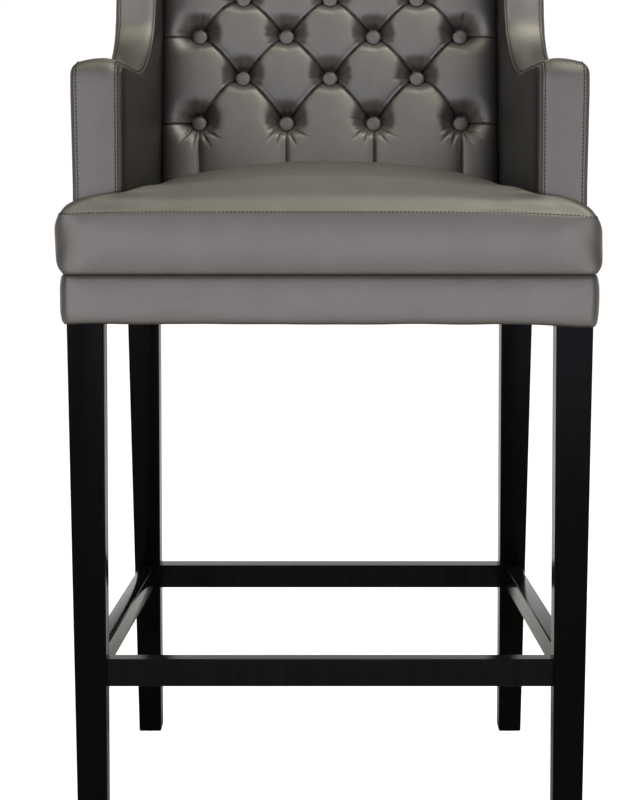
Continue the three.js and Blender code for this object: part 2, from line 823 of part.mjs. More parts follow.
function distanceToLine(x, z, [x0, z0, x1, z1]) {
  const share = ((x - x0) * (x1 - x0) + (z - z0) * (z1 - z0)) / ((x1 - x0) ** 2 + (z1 - z0) ** 2);
  const clamped = THREE.MathUtils.clamp(share, 0, 1);
  return Math.hypot(x - x0 - clamped * (x1 - x0), z - z0 - clamped * (z1 - z0));
}

const pleats = pleatLines();

// How far the cover is drawn in at a place on the back.
function drawnIn(x, z) {
  const toButton = Math.min(...buttonPlaces.map(([bx, bz]) => Math.hypot(x - bx, z - bz)));
  const toPleat = Math.min(...pleats.map((line) => distanceToLine(x, z, line)));
  const tuft = tuftDepth * Math.exp(-((toButton / tuftSpread) ** 2));
  const pleat = pleatDepth * Math.exp(-((toPleat / pleatSpread) ** 2));
  return Math.max(tuft, pleat);
}

function tuftedBack() {
  const top = postTop;
  const sideAt = (y) => armInner(y) - fitGap;
  const half = sideAt(backFace(buttonRows[0]));
  const step = buttonPitch / 8;
  const steps = Math.floor(half / step - 1 / 3);
  const columns = [-half];
  for (let column = -steps; column <= steps; column += 1) {
    columns.push(column * step);
  }
  columns.push(half);
  const rows = [];
  const stops = [upholsteryBase, ...buttonRows, top];
  stops.slice(1).forEach((stop, i) => {
    const parts = i === 0 ? 6 : 4;
    for (let part = 0; part < parts; part += 1) {
      rows.push(THREE.MathUtils.lerp(stops[i], stop, part / parts));
    }
  });
  rows.push(top);
  const points = rows.flatMap((z) => columns.map((x) => [x, z]));
  const cells = [];
  for (let row = 0; row < rows.length - 1; row += 1) {
    for (let column = 0; column < columns.length - 1; column += 1) {
      const a = row * columns.length + column;
      cells.push([a, a + 1, a + columns.length + 1, a + columns.length]);
    }
  }
  const frontHeight = (x, z) => -(backFace(z) + drawnIn(x, z));
  const levels = [
    { inset: 0 },
    { inset: 0, height: (x, z) => -(boardFront(z) - fitGap) },
  ];
  const place = (x, z, height) => {
    const y = -height;
    return [Math.abs(x) === half ? Math.sign(x) * sideAt(y) : x, y, z];
  };
  const hub = [0, (upholsteryBase + top) / 2];
  return gridPad(points, cells, frontHeight, levels, hub, (x, z) => [x, z], place);
}

addSolid('tufted_back', tuftedBack(), cloth);

// Covered buttons, each on a short shank that pulls the cover in.
function coveredButton(name, x, z) {
  const profile = [
    new THREE.Vector2(0, 0),
    new THREE.Vector2(buttonShankRadius, 0),
    new THREE.Vector2(buttonShankRadius, buttonShankLength),
    new THREE.Vector2(buttonRadius * 0.92, buttonShankLength),
    new THREE.Vector2(buttonRadius, buttonShankLength + buttonThickness * 0.25),
    new THREE.Vector2(buttonRadius * 0.82, buttonShankLength + buttonThickness * 0.7),
    new THREE.Vector2(buttonRadius * 0.45, buttonShankLength + buttonThickness * 0.94),
    new THREE.Vector2(0, buttonShankLength + buttonThickness),
  ];
  const mesh = new THREE.Mesh(new THREE.LatheGeometry(profile, buttonSides), cloth);
  mesh.name = name;
  mesh.rotation.x = Math.atan2(backInnerSlope, -1);
  mesh.position.set(x, backFace(z) + tuftDepth - buttonSeatRise, z);
  stool.add(mesh);
}

buttonRows.forEach((z, row) => {
  buttonPlaces.filter((place) => place[1] === z).forEach(([x], i) => {
    coveredButton(`button_row${row + 1}_${i + 1}`, x, z);
  });
});

// Centred front to back, with the floor at zero.
const extent = new THREE.Box3().setFromObject(stool, true);
stool.position.y = -(extent.min.y + extent.max.y) / 2;

export default stool;
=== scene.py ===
import math

import bmesh
import bpy
import numpy as np
from mathutils import Matrix, Vector, noise


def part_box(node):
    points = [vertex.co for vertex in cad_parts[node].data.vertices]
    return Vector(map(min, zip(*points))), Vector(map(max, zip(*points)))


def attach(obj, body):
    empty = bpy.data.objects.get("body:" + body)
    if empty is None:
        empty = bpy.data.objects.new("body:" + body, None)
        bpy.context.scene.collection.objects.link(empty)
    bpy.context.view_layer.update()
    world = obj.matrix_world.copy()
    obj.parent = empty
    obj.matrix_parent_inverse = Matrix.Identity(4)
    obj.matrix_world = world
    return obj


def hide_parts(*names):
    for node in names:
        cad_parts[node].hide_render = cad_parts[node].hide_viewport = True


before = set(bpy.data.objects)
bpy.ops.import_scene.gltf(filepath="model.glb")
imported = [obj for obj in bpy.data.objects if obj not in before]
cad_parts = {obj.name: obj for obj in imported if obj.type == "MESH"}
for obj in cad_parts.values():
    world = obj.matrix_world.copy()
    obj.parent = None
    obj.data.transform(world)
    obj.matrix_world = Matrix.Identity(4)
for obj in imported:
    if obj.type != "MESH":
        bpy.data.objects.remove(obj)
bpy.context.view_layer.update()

# The camera stands straight in front at seat height, far off with a long lens, and looks a little down.
# Depths are counted back from the front faces of the front legs, as an upholsterer measures the frame.
MM = 0.001
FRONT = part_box("left_front_leg")[0].y
CAMERA_DISTANCE, CAMERA_HEIGHT, CAMERA_PITCH = 2407, 800, 3.7


def in_scene(name, data):
    piece = bpy.data.objects.new(name, data)
    bpy.context.collection.objects.link(piece)
    return piece


camera_data = bpy.data.cameras.new("camera")
camera = in_scene("camera", camera_data)
camera.location = (0, FRONT - CAMERA_DISTANCE * MM, CAMERA_HEIGHT * MM)
camera.rotation_euler = (math.radians(90 - CAMERA_PITCH), 0, 0)
camera_data.sensor_width = 36
camera_data.lens = 101.25
camera_data.shift_x = -0.0125
camera_data.shift_y = -0.1556
camera_data.clip_end = 40
bpy.context.scene.camera = camera


# The studio: a white floor and white surroundings, and soft boxes all round. Those low in front are cool and
# those above are warmer, so the satin turns from grey to olive where it faces up.
def join(node, inputs):
    """Gives each named input of a node a fixed value or the output of another node."""
    for name, value in inputs.items():
        if isinstance(value, bpy.types.NodeSocket):
            node.id_data.links.new(value, node.inputs[name])
        else:
            node.inputs[name].default_value = value


def node_maker(tree):
    """A function that adds a node to the tree, sets it up and joins its inputs."""
    def add(kind, inputs=None, **settings):
        node = tree.nodes.new("ShaderNode" + kind)
        for name, value in settings.items():
            setattr(node, name, value)
        join(node, inputs or {})
        return node
    return add


def coat(piece, material):
    piece.data.materials.clear()
    piece.data.materials.append(material)


def between(add, value, low, high, start=0.0, end=1.0):
    """A number that runs from low to high as the value rises from start to end."""
    limits = {"From Min": start, "From Max": end, "To Min": low, "To Max": high}
    return add("MapRange", {"Value": value, **limits}).outputs["Result"]


def plain_material(name, colour, roughness):
    material = bpy.data.materials.new(name)
    material.use_nodes = True
    shader = material.node_tree.nodes["Principled BSDF"]
    join(shader, {"Base Color": (*colour, 1), "Roughness": roughness})
    return material, node_maker(material.node_tree), shader


bpy.context.scene.view_settings.view_transform = "Standard"
bpy.context.scene.view_settings.look = "None"
bpy.ops.object.select_all(action="DESELECT")
bpy.ops.mesh.primitive_plane_add(size=16, location=(0, 2, 0))
floor = bpy.context.object
floor.name = "studio_floor"
bpy.ops.object.transform_apply(location=True, rotation=True, scale=True)
FLOOR_WHITE, SKY_WHITE = 1.12, 1.1
floor_paint, add, shader = plain_material("studio_white", (0.8, 0.8, 0.8), 0.95)
place = add("SeparateXYZ", {0: add("TexCoord").outputs["Object"]})
far_glow = between(add, place.outputs["Y"], 0.05, 0.6, 0.3, 1.8)
ray = add("LightPath")
glow = add("Mix", {"Factor": ray.outputs["Is Camera Ray"], "A": far_glow, "B": FLOOR_WHITE})
join(shader, {
    "Specular IOR Level": 0,
    "Emission Color": (1, 0.97, 0.93, 1),
    "Emission Strength": glow.outputs["Result"],
})
coat(floor, floor_paint)

STUDIO_CENTRE, STUDIO_RADIUS = Vector((0, 0, 0.9)), 3.4
# Each soft box's azimuth and elevation in degrees, and its red, green and blue watts.
SOFT_BOXES = [
    (-33, -8, (10.5, 9.5, 9.4)), (0, -8, (7.9, 8.2, 10.2)), (33, -8, (11.3, 10.5, 10.9)),
    (-33, 10, (2.4, 3.1, 4.2)), (-33, 28, (8.6, 7.9, 7.3)), (33, 28, (7.1, 6.9, 7.7)),
    (0, 46, (0.9, 0.9, 1.6)), (33, 46, (8.3, 8.3, 5.8)), (-66, 66, (9.2, 9.1, 7.1)),
    (66, 66, (21.4, 21.1, 18.4)), (0, 88, (4.7, 4.6, 4.5)), (180, 62, (3.4, 3.3, 2.8)),
    (180, 35, (8.0, 7.6, 6.6)),
]
for azimuth, elevation, watts in SOFT_BOXES:
    lamp_data = bpy.data.lights.new("soft_box", "AREA")
    lamp_data.shape = "RECTANGLE"
    lamp_data.size, lamp_data.size_y = 1.75, 1.1
    lamp_data.energy = max(watts)
    lamp_data.color = [share / max(watts) for share in watts]
    lamp = in_scene("soft_box", lamp_data)
    turn, lift = math.radians(azimuth), math.radians(elevation)
    heading = Vector((math.sin(turn) * math.cos(lift), -math.cos(turn) * math.cos(lift), math.sin(lift)))
    lamp.location = STUDIO_CENTRE + STUDIO_RADIUS * heading
    lamp.rotation_euler = (-heading).to_track_quat("-Z", "Y").to_euler()

world = bpy.data.worlds.new("studio")
bpy.context.scene.world = world
world.use_nodes = True
world.cycles.sampling_method = "NONE"
add = node_maker(world.node_tree)
side = add("SeparateXYZ", {0: add("TexCoord").outputs["Generated"]})
ray = add("LightPath")
behind = between(add, side.outputs["Y"], 0.01, 0.9, -0.1, 0.8)
low = between(add, side.outputs["Z"], 1.0, 0.08, 0.12, 0.5)
strip = add("Math", {0: behind, 1: low}, operation="MULTIPLY")
glossy = add("Mix", {"Factor": ray.outputs["Is Glossy Ray"], "A": 0.0, "B": strip.outputs[0]})
seen = add("Mix", {"Factor": ray.outputs["Is Camera Ray"], "A": glossy.outputs["Result"], "B": SKY_WHITE})
join(world.node_tree.nodes["Background"], {"Color": (1, 1, 1, 1), "Strength": seen.outputs["Result"]})


# Legs: four square legs of hardwood in black satin lacquer, tapered on their outer faces towards the feet.
# The front ones are let into the corners of the seat frame and the rear ones run on up inside the back.
SEAT_DEPTH, BACK_DEPTH = 574.6, 603.2
LEG_TOP, STUB_START, RAIL_TOP, DECK_TOP, POST_TOP = 593.2, 597.4, 637.3, 646.3, 1099.7
LEG_INNER_FRONT, LEG_INNER_REAR, STUB_OUTER_FRONT, STUB_OUTER_REAR = 243.2, 224.4, 274.8, 249
EASED_EDGE = 1.8


def block(name, low, high):
    bpy.ops.object.select_all(action="DESELECT")
    low, high = Vector(low) * MM, Vector(high) * MM
    bpy.ops.mesh.primitive_cube_add(size=1, location=(low + high) / 2 + Vector((0, FRONT, 0)))
    piece = bpy.context.object
    piece.name = piece.data.name = name
    piece.scale = high - low
    bpy.ops.object.transform_apply(location=True, rotation=True, scale=True)
    return piece


def pick(kind, wanted):
    mesh = bmesh.from_edit_mesh(bpy.context.object.data)
    bpy.ops.mesh.select_mode(type=kind)
    bpy.ops.mesh.select_all(action="DESELECT")
    for item in {"VERT": mesh.verts, "EDGE": mesh.edges, "FACE": mesh.faces}[kind]:
        item.select_set(bool(wanted(item)))
    bmesh.update_edit_mesh(bpy.context.object.data)


def middle(item):
    return sum((v.co for v in item.verts), Vector()) / len(item.verts)


def ease_edges(piece, wanted=lambda edge: True):
    bpy.ops.object.mode_set(mode="EDIT")
    pick("EDGE", wanted)
    bpy.ops.mesh.bevel(offset=EASED_EDGE * MM, segments=3, profile=0.5, affect="EDGES")
    bpy.ops.object.mode_set(mode="OBJECT")
    bpy.ops.object.shade_smooth_by_angle(angle=math.radians(40))
    bpy.ops.object.modifier_add(type="WEIGHTED_NORMAL")
    bpy.ops.object.modifier_apply(modifier=piece.modifiers[-1].name)


def tapered_leg(name, inner, width, front, depth, foot_width, foot_depth, foot_shift):
    piece = block(name, (inner, front, 2.5), (inner + width, front + depth, LEG_TOP))
    bpy.ops.object.mode_set(mode="EDIT")
    pick("FACE", lambda face: face.normal.z < -0.9)
    bpy.ops.transform.resize(
        value=(foot_width / width, foot_depth / depth, 1),
        center_override=(inner * MM, FRONT + (front + depth) * MM, 0),
    )
    bpy.ops.transform.translate(value=(0, foot_shift * MM, 0))
    bpy.ops.object.mode_set(mode="OBJECT")
    return piece


def other_side(piece, name):
    mesh = piece.data.copy()
    twin = in_scene(name, mesh)
    mesh.name = name
    for vertex in mesh.vertices:
        vertex.co.x *= -1
    mesh.flip_normals()
    return twin


def stub_on(piece, rings):
    """Carries the leg's top face on upwards through the given (x0, x1, front, back, height) rectangles."""
    bpy.ops.object.mode_set(mode="EDIT")
    top = LEG_TOP
    for x0, x1, y0, y1, height in rings:
        pick("FACE", lambda face: face.normal.z > 0.9 and abs(middle(face).z - top * MM) < 1e-6)
        bpy.ops.mesh.extrude_region_move(TRANSFORM_OT_translate={"value": (0, 0, (height - top) * MM)})
        ends = [v.co for v in bmesh.from_edit_mesh(piece.data).verts if v.select]
        low, high = [[limit(co[axis] for co in ends) for axis in (0, 1)] for limit in (min, max)]
        new_low, new_high = (x0 * MM, FRONT + y0 * MM), (x1 * MM, FRONT + y1 * MM)
        ratio = [(new_high[k] - new_low[k]) / (high[k] - low[k]) for k in (0, 1)]
        bpy.ops.transform.resize(value=(*ratio, 1), center_override=(*low, 0))
        bpy.ops.transform.translate(value=(new_low[0] - low[0], new_low[1] - low[1], 0))
        top = height
    bpy.ops.object.mode_set(mode="OBJECT")


def scaled_place(add, scale):
    return add("Mapping", {"Vector": add("TexCoord").outputs["Object"], "Scale": scale}).outputs["Vector"]


def tinted(add, value, dark, light, start=0.0, end=1.0):
    """A colour that runs from dark to light as the value rises from start to end."""
    ramp = add("ValToRGB", {0: value})
    for stop, colour, position in zip(ramp.color_ramp.elements, (dark, light), (start, end)):
        stop.color = (*colour, 1)
        stop.position = position
    return ramp.outputs[0]


def raised(add, height, strength, distance):
    return add("Bump", {"Height": height, "Strength": strength, "Distance": distance}).outputs["Normal"]


def lacquer_material(name, shine, depth):
    """Black lacquer over a faint grain: shine is its gloss, and depth scales how light its colour is, which
    paints a copy lighter as painted light.
    """
    material, add, shader = plain_material(name, (0.003, 0.0028, 0.0028), 0.24)
    grain = add("TexNoise", {"Vector": scaled_place(add, (120, 120, 14)), "Scale": 1, "Detail": 6}).outputs[0]
    dark, light = np.array([0.001, 0.0009, 0.0009]), np.array([0.003, 0.0028, 0.0027])
    join(shader, {
        "Specular IOR Level": shine, "Base Color": tinted(add, grain, dark * depth, light * depth),
        "Roughness": between(add, grain, 0.13, 0.2), "Normal": raised(add, grain, 0.06, 0.0004),
    })
    return material


leg_lacquer = lacquer_material("black_satin_lacquer", 0.09, 1.0)
side_lacquer = lacquer_material("black_satin_lacquer_along", 0.35, 1.0)
# The front and rear rails take a copy whose colour is five times lighter: painted light.
cross_lacquer_painted_light = lacquer_material("black_satin_lacquer_across", 0.09, 5.0)


def finish_wood(piece, node, lacquer=leg_lacquer):
    coat(piece, lacquer)
    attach(piece, "root")
    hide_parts(node)


def finish_pair(finish, piece, node, **options):
    """Finishes a right-hand piece, and then its mirrored twin for the left-hand node."""
    finish(piece, "right_" + node, **options)
    finish(other_side(piece, piece.name.replace("right", "left")), "left_" + node, **options)


front_leg = tapered_leg("front_leg_right", LEG_INNER_FRONT, width=39.9, front=0, depth=40,
                        foot_width=31.8, foot_depth=31, foot_shift=0)
stub_on(front_leg, [
    (LEG_INNER_FRONT, STUB_OUTER_FRONT, 7.7, 40, STUB_START),
    (LEG_INNER_FRONT, STUB_OUTER_FRONT, 7.7, 40, RAIL_TOP),
])
ease_edges(front_leg)
rear_leg = tapered_leg("rear_leg_right", LEG_INNER_REAR, width=41.2, front=SEAT_DEPTH - 46, depth=46,
                       foot_width=28.9, foot_depth=38, foot_shift=2)
stub_on(rear_leg, [
    (LEG_INNER_REAR, STUB_OUTER_REAR, 535.9, 566.9, STUB_START),
    (LEG_INNER_REAR, STUB_OUTER_REAR, 535.9, 566.9, DECK_TOP),
    (LEG_INNER_REAR, STUB_OUTER_REAR, 581.2, BACK_DEPTH, POST_TOP),
])
ease_edges(rear_leg)
finish_pair(finish_wood, front_leg, "front_leg")
finish_pair(finish_wood, rear_leg, "rear_leg")


# Stretchers: a box of four rails of the same lacquered wood, tenoned between the legs at footrest height,
# with their upper faces in one plane. The side rails follow the toe-in of the seat.
STRETCHER_TOP = 225


def runs_along(axis):
    return lambda edge: abs(edge.verts[0].co[axis] - edge.verts[1].co[axis]) > 0.1


front_rail = block("foot_rail_front", (-LEG_INNER_FRONT, 9.5, 195), (LEG_INNER_FRONT, 33.5, STRETCHER_TOP))
ease_edges(front_rail, runs_along(0))
finish_wood(front_rail, "front_stretcher", cross_lacquer_painted_light)
rear_rail = block("foot_rail_rear", (-LEG_INNER_REAR, 539, 195.4), (LEG_INNER_REAR, 572, STRETCHER_TOP))
ease_edges(rear_rail, runs_along(0))
finish_wood(rear_rail, "rear_stretcher", cross_lacquer_painted_light)
side_rail = block("foot_rail_right", (250.7, 40, 196.6), (270.3, 534.6, STRETCHER_TOP))
bpy.ops.object.mode_set(mode="EDIT")
pick("FACE", lambda face: face.normal.y > 0.9)
bpy.ops.transform.translate(value=((LEG_INNER_REAR - LEG_INNER_FRONT) * MM, 0, 0))
bpy.ops.object.mode_set(mode="OBJECT")
ease_edges(side_rail, runs_along(1))
finish_pair(finish_wood, side_rail, "stretcher", lacquer=side_lacquer)


# Hidden and underside pieces: raw hardwood frame inside the padding, a black non-woven dust cover stapled
# under the seat, and four nailed plastic glides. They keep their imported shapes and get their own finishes.
def raw_wood_material():
    material, add, shader = plain_material("raw_frame_wood", (0.55, 0.38, 0.2), 0.7)
    place = scaled_place(add, (18, 160, 160))
    grain = add("TexNoise", {"Vector": place, "Scale": 1, "Detail": 8, "Distortion": 0.6}).outputs[0]
    join(shader, {
        "Base Color": tinted(add, grain, (0.42, 0.27, 0.13), (0.68, 0.5, 0.3), 0.3, 0.75),
        "Normal": raised(add, grain, 0.25, 0.0005),
    })
    return material


def dust_cloth_material():
    material, add, shader = plain_material("black_dust_cloth", (0.012, 0.012, 0.012), 0.95)
    felt = add("TexVoronoi", {"Vector": add("TexCoord").outputs["Object"], "Scale": 700}).outputs["Distance"]
    join(shader, {
        "Base Color": tinted(add, felt, (0.022, 0.022, 0.022), (0.008, 0.008, 0.008)),
        "Normal": raised(add, felt, 0.4, 0.0003),
    })
    return material


def glide_material():
    material, add, shader = plain_material("glide_plastic", (0.02, 0.02, 0.02), 0.5)
    place = add("TexCoord").outputs["Object"]
    scuff = add("TexNoise", {"Vector": place, "Scale": 900, "Detail": 4}).outputs[0]
    join(shader, {"Roughness": between(add, scuff, 0.4, 0.65), "Normal": raised(add, scuff, 0.2, 0.0002)})
    return material


raw_wood, dust_cloth, glide_plastic = raw_wood_material(), dust_cloth_material(), glide_material()
for node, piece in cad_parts.items():
    finish = None
    if node == "dust_cover":
        finish = dust_cloth
    elif node.endswith("glide"):
        finish = glide_plastic
    elif "rail" in node or "block" in node or node.endswith(("deck", "board", "arm_frame")):
        finish = raw_wood
    if finish:
        coat(piece, finish)


# Apron: foam and cloth wrapped in one band round the seat frame, standing a little proud of the legs, with
# rounded corners. Its lower edge laps over the tops of the legs; its upper edge is tucked under the cushion.
APRON_STAND, APRON_THICK, APRON_MIDDLE, APRON_HALF = 7.1, 13.6, 619.2, 27.2
SEAT_HALF_FRONT, SEAT_HALF_REAR = 282.5, 264.4
SIDE_TOE = (SEAT_HALF_FRONT - SEAT_HALF_REAR) / (SEAT_DEPTH - 40)


def side_line(depth):
    """How far out the seat frame's side is at a depth behind the front legs."""
    return SEAT_HALF_FRONT - SIDE_TOE * (depth - 40)


def set_down(points):
    """Points given as across, depth and height in millimetres, as places in the model."""
    return np.asarray(points, float) * MM + np.array([0, FRONT, 0])


def unit(direction):
    return direction / np.linalg.norm(direction)


def cloth_skin(name, points, faces, corners):
    """A closed mesh facing outwards, with a cloth map whose units are metres along the warp and the weft."""
    mesh = bpy.data.meshes.new(name)
    mesh.from_pydata(points.tolist(), [], faces)
    mesh.uv_layers.new(name="cloth_map")
    mesh.uv_layers["cloth_map"].data.foreach_set("uv", np.asarray(corners, np.float32).ravel())
    mesh.update()
    mesh.shade_smooth()
    shape = bmesh.new()
    shape.from_mesh(mesh)
    if shape.calc_volume(signed=True) < 0:
        bmesh.ops.reverse_faces(shape, faces=shape.faces)
    shape.to_mesh(mesh)
    shape.free()
    return in_scene(name, mesh)


def lengths(points, axis):
    """Running length along one axis of a grid of places, averaged over the other."""
    steps = np.linalg.norm(np.diff(points, axis=axis), axis=2).mean(axis=1 - axis)
    return np.concatenate([[0], np.cumsum(steps)])


def grid_faces(u, v, rows, columns, closed=(False, False)):
    """The faces of a grid of places and their corners on the cloth map; it may close on itself either way."""
    faces, corners = [], []
    for i in range(rows - (not closed[0])):
        for k in range(columns - (not closed[1])):
            j, m = (i + 1) % rows, (k + 1) % columns
            faces.append((i * columns + k, i * columns + m, j * columns + m, j * columns + k))
            corners += [(u[k], v[i]), (u[k + 1], v[i]), (u[k + 1], v[i + 1]), (u[k], v[i + 1])]
    return faces, corners


def sleeve(name, rings, joined=False):
    """A closed sleeve of cloth through a row of rings; joined makes the row meet itself."""
    rings = set_down(rings)
    rows, around = rings.shape[:2]
    u = lengths(np.concatenate([rings, rings[:, :1]], axis=1), 1)
    v = lengths(np.concatenate([rings, rings[:1]]) if joined else rings, 0)
    faces, corners = grid_faces(u, v, rows, around, (joined, True))
    points = rings.reshape(-1, 3)
    if not joined:
        for first, turn in ((0, -1), ((rows - 1) * around, 1)):
            centre = len(points)
            points = np.vstack([points, points[first:first + around].mean(axis=0)])
            for k in range(around):
                pair = (first + k, first + (k + 1) % around)[::turn]
                faces.append((*pair, centre))
                corners += [(0, 0), (0.01, 0), (0, 0.01)]
    return cloth_skin(name, points, faces, corners)


def weave_group():
    """Fine shot cloth: slubby threads both ways, a plain weave at thread scale and a slow random cloud of
    lighter and darker tone, all scaled by a painted light level.
    """
    group = bpy.data.node_groups.new("fine_weave", "ShaderNodeTree")
    for name, way, kind in (
        ("Place", "INPUT", "Vector"), ("Warp Colour", "INPUT", "Color"), ("Weft Colour", "INPUT", "Color"),
        ("Slub", "INPUT", "Float"), ("Tone", "INPUT", "Float"),
        ("Colour", "OUTPUT", "Color"), ("Height", "OUTPUT", "Float"),
    ):
        group.interface.new_socket(name, in_out=way, socket_type="NodeSocket" + kind)
    add = node_maker(group)
    given = group.nodes.new("NodeGroupInput").outputs
    out = group.nodes.new("NodeGroupOutput")

    def result(operation, first, second=0.0):
        return add("Math", {0: first, 1: second}, operation=operation).outputs[0]

    def times(first, second):
        return result("MULTIPLY", first, second)

    def plus(first, second):
        return result("ADD", first, second)

    def slubs(scale):
        stretch = add("VectorMath", {0: given["Place"], 1: scale}, operation="MULTIPLY")
        cloudy = {"Vector": stretch.outputs[0], "Scale": 1, "Detail": 2}
        return result("SUBTRACT", add("TexNoise", cloudy, noise_dimensions="2D").outputs[0], 0.5)

    warp, weft, cloud = slubs((1500, 80, 1)), slubs((80, 1500, 1)), slubs((22, 22, 1))
    split = add("SeparateXYZ", {0: given["Place"]})
    across, along = [result("SINE", times(split.outputs[k], 2 * math.pi / THREAD_PITCH)) for k in (0, 1)]
    threads = times(result("SUBTRACT", warp, weft), given["Slub"])
    blend = add("Mix", {
        "Factor": plus(times(threads, 2.2), 0.5), "A": given["Warp Colour"], "B": given["Weft Colour"],
    }, data_type="RGBA")
    mottle = plus(times(plus(warp, weft), given["Slub"]), times(cloud, 0.14))
    # Painted light: the given level paints the whole colour lighter or darker.
    bright = times(plus(mottle, 1.0), given["Tone"])
    shade = add("Mix", {"Factor": 1, "A": blend.outputs["Result"], "B": bright},
                data_type="RGBA", blend_type="MULTIPLY")
    rise = plus(times(times(across, along), 0.25), plus(warp, weft))
    join(out, {"Colour": shade.outputs["Result"], "Height": rise})
    return group


THREAD_PITCH = 0.0011
fine_weave = weave_group()


def cloth_material(name, painted_light_level, upper_painted_light_level):
    """Cloth whose colour is scaled by painted light: one level below the arm tops, an upper level above them.
    """
    material, add, shader = plain_material(name, (0.3, 0.29, 0.28), 0.45)
    height = add("SeparateXYZ", {0: add("TexCoord").outputs["Object"]}).outputs["Z"]
    # Painted light: the level runs from the lower one to the upper one between 0.875 and 0.92 m high.
    painted_light_by_height = between(add, height, painted_light_level, upper_painted_light_level, 0.875, 0.92)
    weave = add("Group", {
        "Place": add("UVMap", uv_map="cloth_map").outputs["UV"], "Warp Colour": (0.315, 0.298, 0.285, 1),
        "Weft Colour": (0.335, 0.318, 0.298, 1), "Slub": 0.11, "Tone": painted_light_by_height,
    }, node_tree=fine_weave)
    join(shader, {
        "Metallic": 0.85, "Specular IOR Level": 0.3, "Base Color": weave.outputs["Colour"],
        "Normal": raised(add, weave.outputs["Height"], 0.25, 0.0004),
    })
    return material


sateen = cloth_material("shot_sateen", 1.0, 1.0)
# Painted light and shade: the band is painted darker on the arm and lighter on the wing, the buttoned back is
# painted lighter, and the inner arm pads are painted dark as shade.
band_sateen_painted_light_and_shade = cloth_material("shot_sateen_band", 0.88, 1.25)
back_sateen_painted_light = cloth_material("shot_sateen_back_painted_light", 1.18, 1.18)
shaded_sateen = cloth_material("shot_sateen_arm_inside_painted_shade", 0.38, 0.38)


def finish_cloth(piece, *nodes, fill=None, cloth=sateen):
    coat(piece, cloth)
    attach(piece, "root")
    if nodes:
        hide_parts(*nodes)


def apron_line(radius=13.0, step=9):
    """Points, outward directions and greatest insets round the apron's outer line, with rounded corners."""
    front, back = -APRON_STAND, SEAT_DEPTH + APRON_STAND
    right = [(side_line(front) + APRON_STAND, front), (side_line(back) + APRON_STAND, back)]
    corners = [(-right[0][0], front), right[0], right[1], (-right[1][0], back)]
    line = []
    for i, corner in enumerate(corners):
        before, after = np.array(corners[i - 1]), np.array(corners[(i + 1) % 4])
        corner = np.array(corner)
        come, go = unit(corner - before), unit(after - corner)
        out_a, out_b = np.array([come[1], -come[0]]), np.array([go[1], -go[0]])
        turn = math.acos(float(np.clip(come @ go, -1, 1)))
        trim = radius * math.tan(turn / 2)
        centre = corner - come * trim - out_a * radius
        for share in np.linspace(0, 1, 13):
            facing = unit(out_a * (1 - share) + out_b * share)
            line.append((centre + facing * radius, facing, radius - 0.4))
        start, end = corner + go * trim, after - go * trim
        count = max(2, int(np.linalg.norm(end - start) / step))
        for share in np.linspace(0, 1, count + 1)[1:-1]:
            line.append((start + (end - start) * share, out_b, 99.0))
    return line


def apron_section():
    """Inset and height round the section: a full outer face, then the inner wall along the seat frame."""
    outer = []
    for share in np.linspace(1, -1, 19):
        inset = 4.6 * (1 - math.sqrt(max(0, 1 - abs(share) ** 2.6)))
        outer.append((inset, APRON_MIDDLE + APRON_HALF * share))
    return outer + [(APRON_THICK, 600), (APRON_THICK, 645.8)]


def settle_apron(point, across, depth, height):
    """Draws the band in on its right, eases its front corners back and lets it sag, most at the right one."""
    across -= 1.0 * min(1, max(0, across - 200) / 60)
    depth += 1.2 * min(1, max(0, abs(across) - 240) / 48) ** 2 * (depth < 40)
    sag = 1.2 * noise.noise(Vector((point[0] * 0.018 + 9, point[1] * 0.018, 0)))
    sag += 3.8 * math.exp(-(math.hypot(point[0] - 274, point[1]) / 40) ** 2)
    return across, depth, height - sag * max(0, (610 - height) / 18)


rings = []
for point, facing, most in apron_line():
    ring = []
    for inset, height in apron_section():
        wander = noise.noise(Vector((point[0] * 0.03, point[1] * 0.03, height * 0.05)))
        across, depth = point - facing * (min(inset, most) - 0.5 * wander * (inset < 4))
        ring.append(settle_apron(point, across, depth, height))
    rings.append(ring)
apron = sleeve("apron_band", rings, joined=True)
finish_cloth(apron, "apron_front", "apron_rear", "left_apron", "right_apron", fill=0.75)


# Seat cushion: a boxed T-shaped cushion of foam in a fibre wrap, so its top is crowned and its boxing bulges
# between the two seams. The ears reach round the fronts of the arms. It lies loose on the deck.
CUSHION_FRONT, CUSHION_SEAM, CUSHION_BASE = -18.5, 712.5, 646.6
EAR_BACK, EAR_HALF, CUSHION_BACK = 12.6, 295.4, 468.0
SEAM_INSET, BASE_INSET, FRONT_SHARE, CORNER = 5.2, 9.4, 0.6, 8
ROLL_HEIGHT, CROWN_HEIGHT = 21, 26.5
ARM_SETBACK, ARM_WIDTH, ARM_TOE = 19.5, 51.0, 0.0249


def arm_outer(depth):
    return side_line(depth) - 3.3


def arm_inner(depth):
    return arm_outer(ARM_SETBACK) - ARM_WIDTH - ARM_TOE * (depth - ARM_SETBACK)


def arm_face(depth):
    """The inner face of the arm, padded out in a round roll behind its front edge."""
    back = max(0.0, depth - ARM_SETBACK)
    roll = math.sqrt(1 - max(0, 1 - back / 21) ** 2)
    return arm_inner(depth) - (1.2 + 6.8 * roll) * math.exp(-(back / 230) ** 2)


def body_half(depth):
    return arm_face(depth) - 1.0


def round_corner(x, y, radius):
    """Turns the square corner of an ear into a round one, longer along the front than along the side."""
    wide = 2.4 * radius
    u, v = abs(x) - (EAR_HALF - wide), (CUSHION_FRONT + radius) - y
    if u <= 0 or v <= 0:
        return x, y
    a, b = u / wide, v / radius
    u, v = a * math.sqrt(1 - b * b / 2), b * math.sqrt(1 - a * a / 2)
    return math.copysign(EAR_HALF - wide + u * wide, x), CUSHION_FRONT + radius - v * radius


